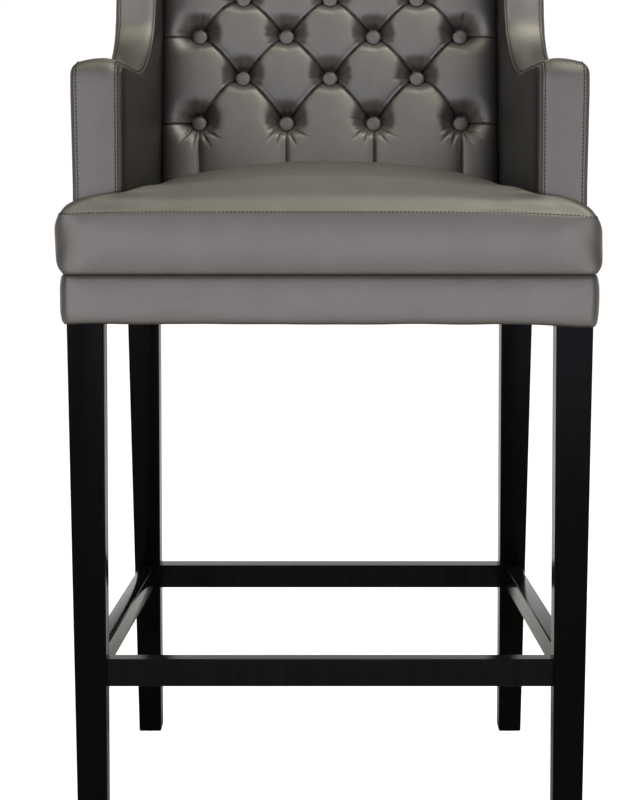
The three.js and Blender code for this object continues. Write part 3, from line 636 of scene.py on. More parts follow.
def draw_in(x, y, inset, front_inset=None):
    """Draws the outline in by an inset, while the backs of the ears stay flat against the arms."""
    body = body_half(y)
    across = abs(x) * (1 - inset / body) if abs(x) <= body else abs(x) - inset
    if y <= EAR_BACK:
        share = (y - CUSHION_FRONT) / (EAR_BACK - CUSHION_FRONT)
        front = CUSHION_FRONT + (inset if front_inset is None else front_inset) * FRONT_SHARE
        depth = front + share * (EAR_BACK - front)
    else:
        share = (y - EAR_BACK) / (CUSHION_BACK - EAR_BACK)
        depth = EAR_BACK + share * (CUSHION_BACK - inset - EAR_BACK)
    return math.copysign(across, x), depth


def crown_at(x, y):
    """Height over the seam: a crown, rolled at the front and sides and pressed up against the arms."""
    far = 400.0
    to_front = max(0.0, y - CUSHION_FRONT)
    to_side = max(0.0, EAR_HALF - abs(x)) if y < EAR_BACK else far
    to_arm = body_half(y) - abs(x) if y > EAR_BACK else far
    to_wall = EAR_BACK - y if abs(x) > body_half(y) else min(CUSHION_BACK - y, to_arm)
    outer = min(1, max(0, (abs(x) - 180) / 50)) * math.exp(-max(0, y - EAR_BACK) / 80)
    rolled = (ROLL_HEIGHT + 5.5 * outer) * (1 - math.exp(-to_front / 10))
    rolled *= 1 - 0.6 * math.exp(-(to_side / 30) ** 1.3) - 0.4 * math.exp(-to_side / 4)
    rolled *= 1 - math.exp(-max(0.0, to_wall) / 1.6)
    middle_line = (CUSHION_FRONT + CUSHION_BACK) / 2
    lengthwise = min(1, abs(y - middle_line) / (CUSHION_BACK - middle_line))
    sideways = min(1, abs(x) / body_half(y))
    return rolled + CROWN_HEIGHT * (1 - sideways ** 2) * (1 - lengthwise ** 2.4)


def slump(points):
    """Lets the boxing sag a little towards its corners, more on the right, as on a worn cushion."""
    settled = []
    for x, y, z in points:
        sag = 2.3 * (x / 285) ** 4 if x < 0 else 5.3 * abs(x / 285) ** 3.5
        share = min(1, max(0, (z - CUSHION_BASE) / (CUSHION_SEAM - CUSHION_BASE)))
        narrow = 4.2 * min(1, max(0, x - 200) / 80) * share ** 0.7
        settled.append((x - narrow, y, z - sag * share ** 1.5))
    return settled


def cushion_mesh():
    """The crowned top, then the boxing ring by ring down to the lower seam, then the flat base."""
    ear_rows = CUSHION_FRONT + np.array([0, 1.6, 4, 7.5, 12, 17, 22, 26.4, 29.4, EAR_BACK - CUSHION_FRONT])
    body_rows = EAR_BACK + (CUSHION_BACK - EAR_BACK) * (1 - (1 - np.linspace(0, 1, 68)[1:]) ** 1.25)
    rows = [*ear_rows, *body_rows]
    half, ears = 36, 13
    width = 2 * (half + ears) + 1
    places = []
    for row, y in enumerate(rows):
        for column in range(-half - ears, half + ears + 1):
            step = abs(column)
            if step <= half:
                x = body_half(y) * (1 - (1 - step / half) ** 1.3)
            else:
                share = (step - half) / ears
                x = body_half(y) + (EAR_HALF - body_half(y)) * (1 - (1 - share) ** 1.5)
            places.append((math.copysign(x, column), y))
    cells = []
    for row in range(len(rows) - 1):
        for column in range(width - 1):
            a = row * width + column
            if ears <= column < ears + 2 * half or row < len(ear_rows) - 1:
                cells.append((a, a + 1, a + width + 1, a + width))
    sides = {(cell[i - 1], cell[i]) for cell in cells for i in range(4)}
    after = {a: b for a, b in sides if (b, a) not in sides}
    loop = [min(after)]
    while after[loop[-1]] != loop[0]:
        loop.append(after[loop[-1]])
    used = sorted({index for cell in cells for index in cell})
    order = {index: i for i, index in enumerate(used)}
    on_loop = set(loop)

    def drawn(index, radius, *insets):
        return draw_in(*round_corner(*places[index], radius), *insets)

    def flat(cell):
        return [(places[index][0] * MM, places[index][1] * MM) for index in cell]

    points, faces, corners = [], [], []
    for index in used:
        height = CUSHION_SEAM + (0 if index in on_loop else crown_at(*places[index]))
        points.append((*drawn(index, CORNER, SEAM_INSET), height))
    for cell in cells:
        faces.append(tuple(order[index] for index in cell))
        corners += flat(cell)
    walk = [0]
    for a, b in zip(loop, loop[1:] + loop[:1]):
        walk.append(walk[-1] + math.dist(places[a], places[b]) * MM)
    ring = upper_seam = [order[index] for index in loop]
    levels = 14
    for level in range(1, levels + 1):
        share = level / levels
        if share < 0.3:
            inset = front_inset = SEAM_INSET * (1 - share / 0.3) ** 2.2
        else:
            low = (share - 0.3) / 0.7
            inset, front_inset = BASE_INSET * (0.18 * low + 0.82 * low ** 8), BASE_INSET * low ** 2.4
        radius = CORNER + 13 * math.sin(math.pi * share) ** 0.8
        height = CUSHION_SEAM + (CUSHION_BASE - CUSHION_SEAM) * share
        lower = range(len(points), len(points) + len(loop))
        points += [(*drawn(index, radius, inset, front_inset), height) for index in loop]
        high, low = [-(level - back) / levels * 0.07 - 0.3 for back in (1, 0)]
        for i in range(len(loop)):
            j = (i + 1) % len(loop)
            faces.append((ring[i], lower[i], lower[j], ring[j]))
            corners += [(walk[i], high), (walk[i], low), (walk[i + 1], low), (walk[i + 1], high)]
        ring = lower
    base = dict(zip(loop, ring))
    for index in used:
        if index not in base:
            base[index] = len(points)
            points.append((*drawn(index, CORNER, BASE_INSET), CUSHION_BASE))
    for cell in cells:
        faces.append(tuple(base[index] for index in reversed(cell)))
        corners += flat(reversed(cell))
    return points, faces, corners, (upper_seam, list(ring))


points, faces, corners, cushion_seams = cushion_mesh()
cushion = cloth_skin("seat_cushion_cover", set_down(slump(points)), faces, corners)


def places_of(mesh):
    places = np.empty(len(mesh.vertices) * 3)
    mesh.vertices.foreach_get("co", places)
    return places.reshape(-1, 3)


def plump(piece, held, pressure, frames, reach):
    """Lets the cover swell like a filled case: held corners stay, and no point moves further than reach."""
    before = places_of(piece.data)
    piece.vertex_groups.new(name="sewn").add(held, 1.0, "REPLACE")
    swell = piece.modifiers.new("swell", "CLOTH")
    for setting, value in (
        ("use_pressure", True), ("uniform_pressure_force", pressure), ("vertex_group_mass", "sewn"),
        ("tension_stiffness", 30), ("compression_stiffness", 20), ("shear_stiffness", 8),
        ("bending_stiffness", 0.6), ("quality", 6),
    ):
        setattr(swell.settings, setting, value)
    swell.settings.effector_weights.gravity = 0
    swell.point_cache.frame_start, swell.point_cache.frame_end = 1, frames
    scene = bpy.context.scene
    for moment in range(1, frames + 1):
        scene.frame_set(moment)
    shaped = piece.evaluated_get(bpy.context.evaluated_depsgraph_get())
    step = places_of(shaped.to_mesh()) - before
    shaped.to_mesh_clear()
    piece.modifiers.remove(swell)
    scene.frame_set(1)
    step *= np.minimum(1, reach / np.maximum(np.linalg.norm(step, axis=1, keepdims=True), 1e-9))
    piece.data.vertices.foreach_set("co", (before + step).ravel())
    piece.data.update()


lowest = CUSHION_BASE * MM + 1e-5
held = {index for ring in cushion_seams for index in ring}
held.update(v.index for v in cushion.data.vertices if v.co.z < lowest)
plump(cushion, sorted(held), pressure=2.5, frames=16, reach=4 * MM)


sewn = {frozenset((a, b)) for ring in cushion_seams for a, b in zip(ring, ring[1:] + ring[:1])}
crease = cushion.data.attributes.new("crease_edge", "FLOAT", "EDGE")
crease.data.foreach_set("value", [float(frozenset(edge.vertices) in sewn) for edge in cushion.data.edges])
seam_lines = [[tuple(cushion.data.vertices[index].co) for index in ring] for ring in cushion_seams]
bpy.ops.object.select_all(action="DESELECT")
bpy.context.view_layer.objects.active = cushion
bpy.ops.object.modifier_add(type="SUBSURF")
cushion.modifiers[-1].levels = cushion.modifiers[-1].render_levels = 1
bpy.ops.object.modifier_apply(modifier=cushion.modifiers[-1].name)
finish_cloth(cushion, "seat_cushion", fill=0.85)


# Arms and wings: on each side a smooth inner pad, a smooth outer panel and a crowned band of cloth that runs
# up the front of the arm, over its top and up the wing. The band is top-stitched along both of its seams.
BACK_SLOPE, BOARD_SLOPE, BACK_REAR_SLOPE = 0.19, 0.0999, 0.08
BACK_TOP, PAD_BASE, ARM_TOP = 1112.0, 646.6, 868.7


def arm_path(step=6.0):
    """Depths and heights along the seam line: up the arm's front, round its corner, back and up the wing."""
    turn, turn_base = 14, 856.7
    corner = [
        (ARM_SETBACK + turn * (1 - math.cos(angle)), turn_base + turn * math.sin(angle))
        for angle in np.linspace(0, math.pi / 2, 7)
    ]
    rise = [(ARM_SETBACK, height) for height in np.linspace(PAD_BASE, turn_base, 36)[:-1]]
    knots = [
        corner[-1], (148.75, ARM_TOP), (264, 866.7), (350.8, 886.8), (397.6, 920.7), (410.2, 961.9),
        (423.8, 1010), (447.2, 1058), (484.1, 1091.9), (533, 1108), (BACK_DEPTH, BACK_TOP),
    ]
    sweep = []
    for i in range(len(knots) - 1):
        a, b, c, d = (np.array(knots[max(0, min(len(knots) - 1, i + k))], float) for k in (-1, 0, 1, 2))
        for share in np.linspace(0, 1, 24)[:-1]:
            v0, v1 = (c - a) / 2, (d - b) / 2
            cubic = (2 * b - 2 * c + v0 + v1) * share ** 3
            square = (-3 * b + 3 * c - 2 * v0 - v1) * share ** 2
            sweep.append(cubic + square + v0 * share + b)
    sweep.append(np.array(knots[-1]))
    sweep = np.array(sweep)
    walk = lengths(sweep[None], 1)
    stops = np.linspace(0, walk[-1], int(walk[-1] / step) + 1)[1:]
    even = np.stack([np.interp(stops, walk, sweep[:, k]) for k in (0, 1)], axis=1)
    return np.array([*rise, *corner, *even])


def band_edges(depth, height):
    """Where the band starts and ends across: it is wider on the wing and leans in towards the seat."""
    inner = arm_inner(depth) - 2.5 * min(1, max(0, (height - 890) / 60))
    return inner, arm_outer(depth) - 1.8 * min(1, max(0, (840 - height) / 100))


path = arm_path()
along = np.gradient(path, axis=0)
along /= np.linalg.norm(along, axis=1, keepdims=True)
outward = np.stack([-along[:, 1], along[:, 0]], axis=1)


# Places across the band from its inner edge, with the height over the seam line. The dips are the two seams.
BAND_COVER = [
    (0, 0.0), (0.4, 1.0), (0.9, 1.6), (1.4, 1.1), (1.9, 2.3), (3.2, 3.6), (5, 4.9), (8, 6.2), (12, 7.0),
    (16.5, 7.3), (22, 7.1), (28, 6.4), (34, 5.3), (40, 3.9), (44, 2.7), (44.9, 2.2), (45.4, 1.4), (45.9, 1.5),
    (47, 0.6), (48.6, -1), (49.8, -3), (50.6, -5.2), (51, -7.5),
]
BAND_UNDER = [(50.4, -8.6), (38, -8.6), (13, -8.6), (12, -3), (1.2, -3), (0.1, -1)]


def on_band(spot, way, margin, rise):
    """A place across the band from its inner edge, raised over the seam line, least on the upright front."""
    y, z = spot + way * rise * (1 - 0.45 * max(0, -way[0]))
    inner, outer = band_edges(y, z)
    return inner + margin / ARM_WIDTH * (outer - inner), y, z


rings = []
for spot, way in zip(path, outward):
    rings.append([on_band(spot, way, margin, rise) for margin, rise in BAND_COVER + BAND_UNDER])
band = sleeve("arm_band_right", rings)
# The band takes the cloth with painted shade on the arm and painted light on the wing.
finish_pair(finish_cloth, band, "arm_band", fill=0.7, cloth=band_sateen_painted_light_and_shade)


def pad(name, skin, back):
    """A pad from a grid of places on its cover and the like places on its flat back, closed in strips."""
    skin, back = set_down(skin), set_down(back)
    rows, columns = skin.shape[:2]
    u, v = lengths(skin, 1), lengths(skin, 0)
    faces, corners = grid_faces(u, v, rows, columns)
    border = [(0, k) for k in range(columns)] + [(i, columns - 1) for i in range(1, rows)]
    border += [(rows - 1, k) for k in range(columns - 2, -1, -1)] + [(i, 0) for i in range(rows - 2, 0, -1)]
    far = {spot: rows * columns + order for order, spot in enumerate(border)}
    points = np.concatenate([skin.reshape(-1, 3), np.array([back[spot] for spot in border])])
    walk = 0.0
    for spot, after in zip(border, border[1:] + border[:1]):
        a, b = spot[0] * columns + spot[1], after[0] * columns + after[1]
        run = float(np.linalg.norm(points[a] - points[b]))
        deep = float(np.linalg.norm(points[a] - points[far[spot]]))
        faces.append((b, a, far[spot], far[after]))
        corners += [(walk + run, 0), (walk, 0), (walk, deep), (walk + run, deep)]
        walk += run
    for i in range(rows - 1):
        low = [(i, k) for k in range(columns)] if i == 0 else [(i, 0), (i, columns - 1)]
        high = [(i + 1, k) for k in range(columns)] if i == rows - 2 else [(i + 1, 0), (i + 1, columns - 1)]
        strip = high + low[::-1]
        faces.append(tuple(far[spot] for spot in strip))
        corners += [(u[spot[1]], v[spot[0]]) for spot in strip]
    return cloth_skin(name, points, faces, corners)


def eased(distance, radius, depth):
    """How far a cover is drawn down at a distance from its sewn edge."""
    share = np.clip(1 - distance / radius, 0, 1)
    return depth * (1 - np.sqrt(1 - share ** 2 * 0.98))


def path_height(depth, drop):
    """Height of the line that runs a drop inside the arm's path, at a depth."""
    inside = path - outward * drop
    return np.interp(depth, inside[:, 0], inside[:, 1])


def side_pad(name, drop, roll, rear_start, rear_slope, rear_end, surface, thickness):
    """A pad that fills the arm and the wing up to a sloping rear line, rolled over at its front."""
    first = ARM_SETBACK + drop
    depths = np.concatenate([
        first + np.array([0, 0.6, 1.4, 2.6, 4.4, 7, 10.5, 15, 21, 28]),
        np.linspace(first + 36, rear_start, 56),
        np.linspace(rear_start, rear_end, 9)[1:],
    ])
    shares = np.concatenate([[0, 0.02, 0.05], np.linspace(0.1, 0.9, 26)])
    skin, back = [], []
    for depth in depths:
        base = max(PAD_BASE, DECK_TOP + (depth - rear_start) / rear_slope)
        top = max(base + 1, float(path_height(depth, drop)))
        tall = top - base
        rows = np.concatenate([base + tall * shares * (1 - min(0.5, 12 / tall)),
                               top - np.array([8, 5, 3.2, 2, 1.1, 0.5, 0]) * min(1, tall / 24)])
        rows = np.maximum.accumulate(rows)
        down = np.maximum(eased(top - rows, 5.0, 4.2), eased(depth - first, roll, 4.2))
        skin.append([(surface(depth, z, down_here), depth, z) for down_here, z in zip(down, rows)])
        back.append([(surface(depth, z, thickness), depth, z) for z in rows])
    return pad(name, skin, back)


inner_pad = side_pad(
    "arm_inner_cover_right", drop=1.4, roll=3, rear_start=529.3, rear_slope=BOARD_SLOPE, rear_end=574.4,
    surface=lambda depth, height, down: arm_face(depth) + 0.95 * down, thickness=11.5,
)
# The inner pads take the cloth painted dark, as painted shade.
finish_pair(finish_cloth, inner_pad, "arm_inner_pad", fill=0.6, cloth=shaded_sateen)
outer_panel = side_pad(
    "arm_outer_cover_right", drop=3.2, roll=5, rear_start=566.6, rear_slope=BACK_REAR_SLOPE, rear_end=602.6,
    surface=lambda depth, height, down: band_edges(depth, height)[1] - down, thickness=12,
)
finish_pair(finish_cloth, outer_panel, "arm_outer_panel", fill=0.4)


# Outer back and top band: a smooth panel closes the rear of the back from apron to top edge, and a narrow
# padded band runs over the back's upper edge between the wings.
def back_rear(height):
    return 579.2 + BACK_REAR_SLOPE * (height - DECK_TOP)


def edge_steps(low, high, margins, count):
    return np.concatenate([low + margins, np.linspace(low + margins[-1], high - margins[-1], count)[1:-1],
                           (high - margins)[::-1]])


EDGE_MARGINS = np.array([0, 0.5, 1.2, 2.2, 3.6, 5.5, 9])
skin, back = [], []
for height in edge_steps(PAD_BASE, BACK_TOP, EDGE_MARGINS, 40):
    rear = back_rear(height)
    half = arm_outer(rear - 6)
    columns = edge_steps(-half, half, EDGE_MARGINS, 40)
    to_edge = np.minimum(half - np.abs(columns), min(height - PAD_BASE, BACK_TOP - height))
    down = eased(to_edge, 5.0, 4.5)
    skin.append([(x, rear - d, height) for x, d in zip(columns, down)])
    back.append([(x, rear - 12, height) for x in columns])
back_panel = pad("back_outer_cover", skin, back)
finish_cloth(back_panel, "back_outer_panel", fill=0.4)


def back_face(height):
    return 464.6 + BACK_SLOPE * (height - DECK_TOP)


def board_face(height):
    return 529.0 + BOARD_SLOPE * (height - DECK_TOP)


top_section = [
    (550.8, 1100.2), (550.2, 1103), (550.8, 1107), (553, 1111), (557, 1113.8), (563, 1115.6), (571, 1116.6),
    (580, 1116.8), (589, 1116), (596, 1114.4), (600.5, 1112.6), (602.6, 1110.8), (603, 1108), (603, 1100.2),
]
rings = [[(share * (arm_inner(y) - 0.4), y, z) for y, z in top_section] for share in np.linspace(-1, 1, 60)]
top_band = sleeve("back_top_cover", rings)
finish_cloth(top_band, "back_top_band", fill=0.7)


# Buttoned inner back: one cover pulled through deep foam at eighteen buttons. Folded pleats run from each
# button down to its neighbours, out to the wings and down behind the seat, and the cloth puffs up between.
ROW_HEIGHTS = [DECK_TOP + 465.7 * share for share in (0.347, 0.472, 0.588, 0.693, 0.792)]
PITCH = 112.49
OUTER_COLUMN = 1.25 * PITCH
buttons = []
for row, height in enumerate(ROW_HEIGHTS):
    for shift in ((-1.5, -0.5, 0.5, 1.5) if row % 2 == 0 else (-1, 0, 1)):
        buttons.append((shift * PITCH, height, row))

CELL = 1.15
BACK_LOW, BACK_HIGH = PAD_BASE, 1099.6
half_width = arm_face(back_face(ROW_HEIGHTS[0])) - 0.4
columns = np.linspace(-half_width, half_width, int(2 * half_width / CELL) | 1)
rows = np.linspace(BACK_LOW, BACK_HIGH, int((BACK_HIGH - BACK_LOW) / CELL) + 1)
X, Z = np.meshgrid(columns, rows)


def pleat_lines():
    """Each pleat as a line of places, always from its upper or inner end, with the depth of its fold."""
    lines = []
    for x, z, row in buttons:
        for other_x, other_z, other_row in buttons:
            if other_row == row - 1 and abs(abs(other_x - x) - PITCH / 2) < 5:
                bend = 2.0 if abs(other_x) > OUTER_COLUMN else 1.55
                share = np.linspace(0, 1, 60)
                lines.append((x + (other_x - x) * share, z + (other_z - z) * share ** bend, "cross"))
        if abs(x) > OUTER_COLUMN:
            reach = np.linspace(0, 1, 30)
            end = math.copysign(half_width + 3, x)
            lines.append((x + (end - x) * reach, z + 1.6 * np.sin(reach * math.pi), "side"))
        if row == 0:
            drop = np.linspace(0, 1, 60)
            lean = -2.5 * math.copysign(1, x) * (abs(x) > PITCH)
            lines.append((x + lean * drop, z - (z - BACK_LOW + 3) * drop, "down"))
        if row == len(ROW_HEIGHTS) - 1:
            rise = np.linspace(0, 1, 40)
            lines.append((x + 0 * rise, z + (BACK_HIGH + 3 - z) * rise, "up"))
    return lines


near = np.full(X.shape, 99.0)
aside = np.zeros(X.shape)
fold_depth = np.zeros(X.shape)
across_x, across_z = np.zeros(X.shape), np.zeros(X.shape)
for xs, zs, kind in pleat_lines():
    box = (X > xs.min() - 16) & (X < xs.max() + 16) & (Z > zs.min() - 16) & (Z < zs.max() + 16)
    px, pz = X[box], Z[box]
    gap = np.hypot(px[:, None] - xs[None], pz[:, None] - zs[None])
    best = gap.argmin(axis=1)
    tangent = np.stack([np.gradient(xs), np.gradient(zs)], axis=1)
    tangent /= np.linalg.norm(tangent, axis=1, keepdims=True)
    normal = np.stack([-tangent[:, 1], tangent[:, 0]], axis=1)
    if kind in ("cross", "side"):
        normal *= np.sign(normal[:, 1:2] + 1e-9)
    else:
        normal *= -np.sign(normal[:, :1] + 1e-9)
    off = (px - xs[best]) * normal[best, 0] + (pz - zs[best]) * normal[best, 1]
    along_off = (px - xs[best]) * tangent[best, 0] + (pz - zs[best]) * tangent[best, 1]
    past_end = np.where((best == 0) | (best == len(xs) - 1), np.abs(along_off), 0)
    gap = np.abs(off) + past_end
    share = best / (len(xs) - 1)
    if kind == "cross":
        deep = 6.5 + 3.5 * np.abs(2 * share - 1) ** 2
    elif kind == "side":
        deep = 4.5 + 4 * (1 - share) ** 3
    else:
        deep = 3.5 + 4 * (1 - share) ** 3
    closer = gap < near[box]
    near[box] = np.where(closer, gap, near[box])
    for grid, values in ((fold_depth, deep), (aside, off), (across_x, normal[best, 0]),
                         (across_z, normal[best, 1])):
        grid[box] = np.where(closer, values, grid[box])


def relax(values, fixed, load, sweeps, overstep=1.94):
    """Blows a loaded skin up between its fixed places: each point steps past the mean of its neighbours."""
    free = ~fixed[1:-1, 1:-1]
    parity = np.add.outer(np.arange(fixed.shape[0] - 2), np.arange(fixed.shape[1] - 2)) % 2
    masks = [free & (parity == k) for k in (0, 1)]
    for _ in range(sweeps):
        for mask in masks:
            around = (values[:-2, 1:-1] + values[2:, 1:-1] + values[1:-1, :-2] + values[1:-1, 2:]) / 4
            values[1:-1, 1:-1] += overstep * (around + load - values[1:-1, 1:-1]) * mask
    return values


# The puffs: a pillow between the pleats, a wide dimple round each button and a sharp fold along each pleat,
# where the cloth above hangs a little over the cloth below.
fixed = near < 0.75 * CELL
fixed[0], fixed[-1], fixed[:, 0], fixed[:, -1] = True, True, True, True
pillow = relax(np.zeros(X.shape), fixed, load=1.0, sweeps=260)
pillow = np.sqrt(np.maximum(pillow, 0) / pillow.max())
PUFF_HEIGHT, DIMPLE_DEPTH, DIMPLE_FLOOR = 9.5, 18.0, 10.0
nearest = np.full(X.shape, 999.0)
dimple = np.zeros(X.shape)
for x, z, row in buttons:
    radius = np.hypot(X - x, Z - z)
    turn = np.arctan2(Z - z, X - x)
    reach = np.maximum(10, 17 + 10 * np.sin(turn) + 4 * np.abs(np.cos(turn)))
    reach += (abs(x) > OUTER_COLUMN) * 14 * np.maximum(0, np.cos(turn) * np.sign(x))
    depth = DIMPLE_DEPTH * (0.78 + 0.34 * np.sin(turn) + 0.24 * np.cos(turn) ** 2)
    slope = 1 - np.maximum(0, radius - DIMPLE_FLOOR) / reach
    dimple += (depth * (0.5 * (slope + np.sqrt(slope ** 2 + 0.1))) ** 2.1) ** 3
    nearest = np.minimum(nearest, radius)
dimple = np.cbrt(dimple)
dimple += np.maximum(0, DIMPLE_DEPTH + 4 - dimple) * np.clip((DIMPLE_FLOOR + 0.6 - nearest) / 1.2, 0, 1)
to_side = half_width - np.abs(X)
edge_roll = 12 * np.exp(-to_side / 7.5) + 7 * np.exp(-(BACK_HIGH - Z) / 7) + 6 * np.exp(-(Z - BACK_LOW) / 9)
surface = PUFF_HEIGHT * pillow - dimple - edge_roll

draw = np.random.default_rng(7)


def gather(x, z, angle, reach, width, depth):
    """The depth of a short fold that runs out from a button, sharp on one side and soft on the other."""
    radius = np.hypot(X - x, Z - z)
    bend = np.angle(np.exp(1j * (np.arctan2(Z - z, X - x) - angle - 0.004 * radius)))
    fade = np.clip((radius - 8) / 3, 0, 1) * np.clip(1 - (radius - 8) / reach, 0, 1) ** 1.3
    off = bend * radius
    spread = np.where(off > 0, width * 0.55, width * 1.5)
    return depth * np.exp(-(off / spread) ** 2) * fade * (np.abs(bend) < 1)


down = -math.pi / 2
for x, z, row in buttons:
    if row == 0:
        for angle, reach in ((-0.95, 29), (-0.42, 25), (0.42, 27), (0.95, 31)):
            heading = down + angle + draw.uniform(-0.1, 0.1)
            surface -= gather(x, z, heading, reach, width=1.9, depth=draw.uniform(4.2, 5.2))
    else:
        for angle in (-0.35, 0, 0.35):
            heading = down + angle + draw.uniform(-0.08, 0.08)
            surface -= gather(x, z, heading, draw.uniform(6, 10), width=1.2, depth=0.9)
    for side in (-1, 1):
        for angle in (1.25, 1.6, 2.0, 2.45, 2.85):
            surface -= gather(x, z, down + side * (angle + draw.uniform(-0.12, 0.12)), draw.uniform(16, 28),
                              draw.uniform(1.8, 2.6), draw.uniform(2.4, 3.8))

surface = np.where(nearest < DIMPLE_FLOOR - 1, np.minimum(surface, -DIMPLE_DEPTH), surface)
clear = np.clip((nearest - 7) / 4, 0, 1)
LIP = 1.7
snap = np.where(np.abs(aside) < 0.6 * CELL, 0, aside)
snap = np.where(np.abs(aside - LIP) < 0.55 * CELL, LIP, snap)
on_pleat = near < 14
snap = np.where(on_pleat, snap, 40.0)
upright = np.abs(across_x) > 0.98
near_button = np.clip((fold_depth - 5.5) / 4.5, 0, 1)
below = np.where(snap <= 0, np.exp(-np.abs(snap) / np.where(upright, 0.9, 1.5 + 1.5 * near_button)), 0)
above = np.where(snap > 0, np.exp(-(snap / 1.1) ** 2), 0)
surface -= fold_depth * (below + above)
bead = np.where(upright, 1.1, 1.8)
surface += bead * np.exp(-((snap - LIP) / 0.75) ** 2) - 0.25 * bead * np.exp(-((snap - 3.2) / 0.9) ** 2)
hang = np.where(upright, 1.0, 2.0) * np.exp(-((snap - LIP) / 1.2) ** 2) * clear
keep = np.clip(np.minimum(to_side, np.minimum(Z - BACK_LOW, BACK_HIGH - Z)) / 5, 0, 1)
move = ((snap - aside) * clear * on_pleat - hang) * keep
shift_x, shift_z = across_x * move, across_z * move
skin = np.stack([X + shift_x, back_face(Z) - surface - 1.5, Z + shift_z], axis=2)
skin[:, :, 1] = np.minimum(skin[:, :, 1], board_face(Z) - 1.5)
flat_back = np.stack([X, board_face(Z), Z], axis=2)
tufted = pad("tufted_back_cover", skin, flat_back)
# The buttoned back takes the cloth painted lighter, as painted light.
finish_cloth(tufted, "tufted_back", fill=0.7, cloth=back_sateen_painted_light)


# Covered buttons: a domed metal shell in the same cloth, gathered behind its rim, on a short shank whose cord
# ties through the back board. One is made and copied to each place.
def covered_button():
    bpy.ops.object.select_all(action="DESELECT")
    bpy.ops.mesh.primitive_uv_sphere_add(segments=32, ring_count=20, radius=9.5 * MM)
    piece = bpy.context.object
    bpy.ops.object.mode_set(mode="EDIT")
    bpy.ops.mesh.select_all(action="SELECT")
    bpy.ops.mesh.bisect(plane_co=(0, 0, -2.4 * MM), plane_no=(0, 0, 1), clear_inner=True, use_fill=True)
    bpy.ops.mesh.select_all(action="SELECT")
    bpy.ops.transform.resize(value=(1.0, 1.0, 0.27), center_override=(0, 0, 0))
    pick("FACE", lambda face: face.normal.z < -0.95)
    bpy.ops.mesh.inset(thickness=6.0 * MM)
    bpy.ops.mesh.extrude_region_move(TRANSFORM_OT_translate={"value": (0, 0, -4.0 * MM)})
    bpy.ops.object.mode_set(mode="OBJECT")
    for vertex in piece.data.vertices:
        out = math.hypot(vertex.co.x, vertex.co.y)
        if out > 5 * MM and vertex.co.z < 2 * MM:
            pinch = math.cos(9 * math.atan2(vertex.co.y, vertex.co.x))
            vertex.co.z += 0.12 * MM * pinch * (out - 5 * MM) / (4.5 * MM)
    bpy.ops.object.shade_smooth_by_angle(angle=math.radians(50))
    return piece


button_model = covered_button()
tilt = math.atan(BACK_SLOPE)
BUTTON_SEAT = 12.5
counts = {}
for x, z, row in buttons:
    counts[row] = counts.get(row, 0) + 1
    name = f"button_row{row + 1}_{counts[row]}"
    mesh = button_model.data.copy()
    piece = in_scene(f"covered_{name}", mesh)
    place = Matrix.Translation((x * MM, FRONT + (back_face(z) + BUTTON_SEAT) * MM, z * MM))
    spin = Matrix.Rotation(draw.uniform(0, math.pi), 4, "Z")
    mesh.transform(place @ Matrix.Rotation(math.pi / 2 - tilt, 4, "X") @ spin)
    layer = mesh.uv_layers.active or mesh.uv_layers.new(name="cloth_map")
    layer.name = "cloth_map"
    for loop in mesh.loops:
        co = mesh.vertices[loop.vertex_index].co
        layer.data[loop.index].uv = (co.x, co.z)
    finish_cloth(piece, name)
bpy.data.objects.remove(button_model)


# Top-stitching: a doubled grey thread along both seams of each arm band and along the front of the two seams
# of the cushion's boxing. One stitch is made and copied along each seam. The thread is drawn near black, as
# painted shade of the stitch holes, and the cushion's lower seam has a pale copy of it as painted light.
def thread_material(name, dark, light):
    material, add, shader = plain_material(name, dark, 0.6)
    twist = add("TexNoise", {"Vector": add("TexCoord").outputs["Object"], "Scale": 900})
    join(shader, {"Base Color": tinted(add, twist.outputs[0], dark, light)})
    return material


# Painted shade: the stitches are near black where the holes lie in shadow; the pale copy paints the lower
# seam's stitches light.
thread = thread_material("seam_thread_painted_shade", (0.02, 0.018, 0.018), (0.06, 0.055, 0.05))
pale_thread_painted_light = thread_material("seam_thread_painted_light", (0.12, 0.115, 0.11), (0.3, 0.29, 0.28))


def stitch_model():
    bpy.ops.object.select_all(action="DESELECT")
    bpy.ops.mesh.primitive_uv_sphere_add(segments=6, ring_count=5, radius=1)
    piece = bpy.context.object
    shape = np.array([v.co for v in piece.data.vertices])[:, [2, 0, 1]]
    faces = [tuple(face.vertices) for face in piece.data.polygons]
    bpy.data.objects.remove(piece)
    return shape, faces


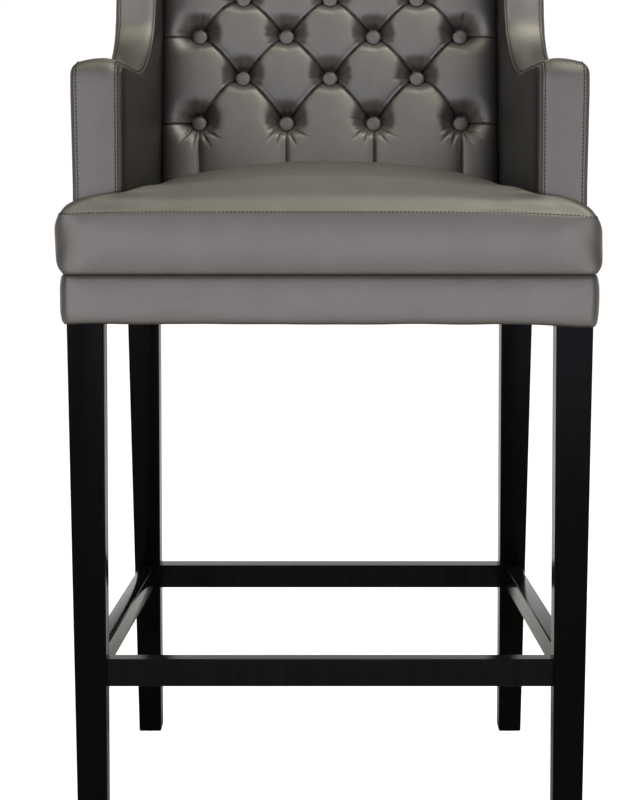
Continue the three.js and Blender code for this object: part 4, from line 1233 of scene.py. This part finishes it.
STITCH_SHAPE, STITCH_FACES = stitch_model()


def stitch_row(name, line, facing, cord=thread, pitch=4.3, length=3.3, width=0.62, height=0.5, slant=0.2):
    """Stitches along a line of places, each lying on the cloth that faces the given way."""
    line, facing = np.asarray(line, float), np.asarray(facing, float)
    walk = lengths(line[None], 1)

    def at(values, stop):
        return np.array([np.interp(stop, walk, values[:, k]) for k in range(3)])

    points, faces = [], []
    for stop in np.arange(pitch * MM / 2, walk[-1], pitch * MM):
        run = unit(at(line, stop + 0.5 * MM) - at(line, stop - 0.5 * MM))
        up = at(facing, stop)
        up = unit(up - run * (up @ run))
        aside = np.cross(up, run)
        run = unit(run + aside * slant)
        first = len(points) * len(STITCH_SHAPE)
        shape = (STITCH_SHAPE[:, :1] * run * length / 2 + STITCH_SHAPE[:, 1:2] * aside * width
                 + STITCH_SHAPE[:, 2:3] * up * height) * MM
        points.append(at(line, stop) + shape)
        faces += [tuple(first + index for index in face) for face in STITCH_FACES]
    mesh = bpy.data.meshes.new(name)
    mesh.from_pydata(np.concatenate(points).tolist(), [], faces)
    mesh.shade_smooth()
    piece = in_scene(name, mesh)
    finish_cloth(piece, cloth=cord)
    return piece


for margin, rise, lean, label in ((2.3, 3.1, -0.5, "inner"), (44.2, 2.9, 0.6, "outer")):
    line = [on_band(spot, way, margin, rise) for spot, way in zip(path, outward)]
    facing = [(lean, *way) for way in outward]
    row = stitch_row(f"arm_stitches_{label}_right", set_down(line), facing)
    finish_cloth(other_side(row, f"arm_stitches_{label}_left"), cloth=thread)

for ring, drop, rise, label, cord in ((seam_lines[0], 0.8, 0.9, "upper", thread),
                                      (seam_lines[1], 1.9, 1.7, "lower", pale_thread_painted_light)):
    front = [place for place in ring if place[1] < FRONT + (CUSHION_FRONT + BASE_INSET + 4) * MM]
    line = [np.array(place) + np.array([0, -drop * MM, rise * MM]) for place in sorted(front)]
    facing = [(0, -1, 0.3)] * len(line)
    stitch_row(f"cushion_stitches_{label}", line, facing, cord, length=3.0, width=0.5, slant=0.25)
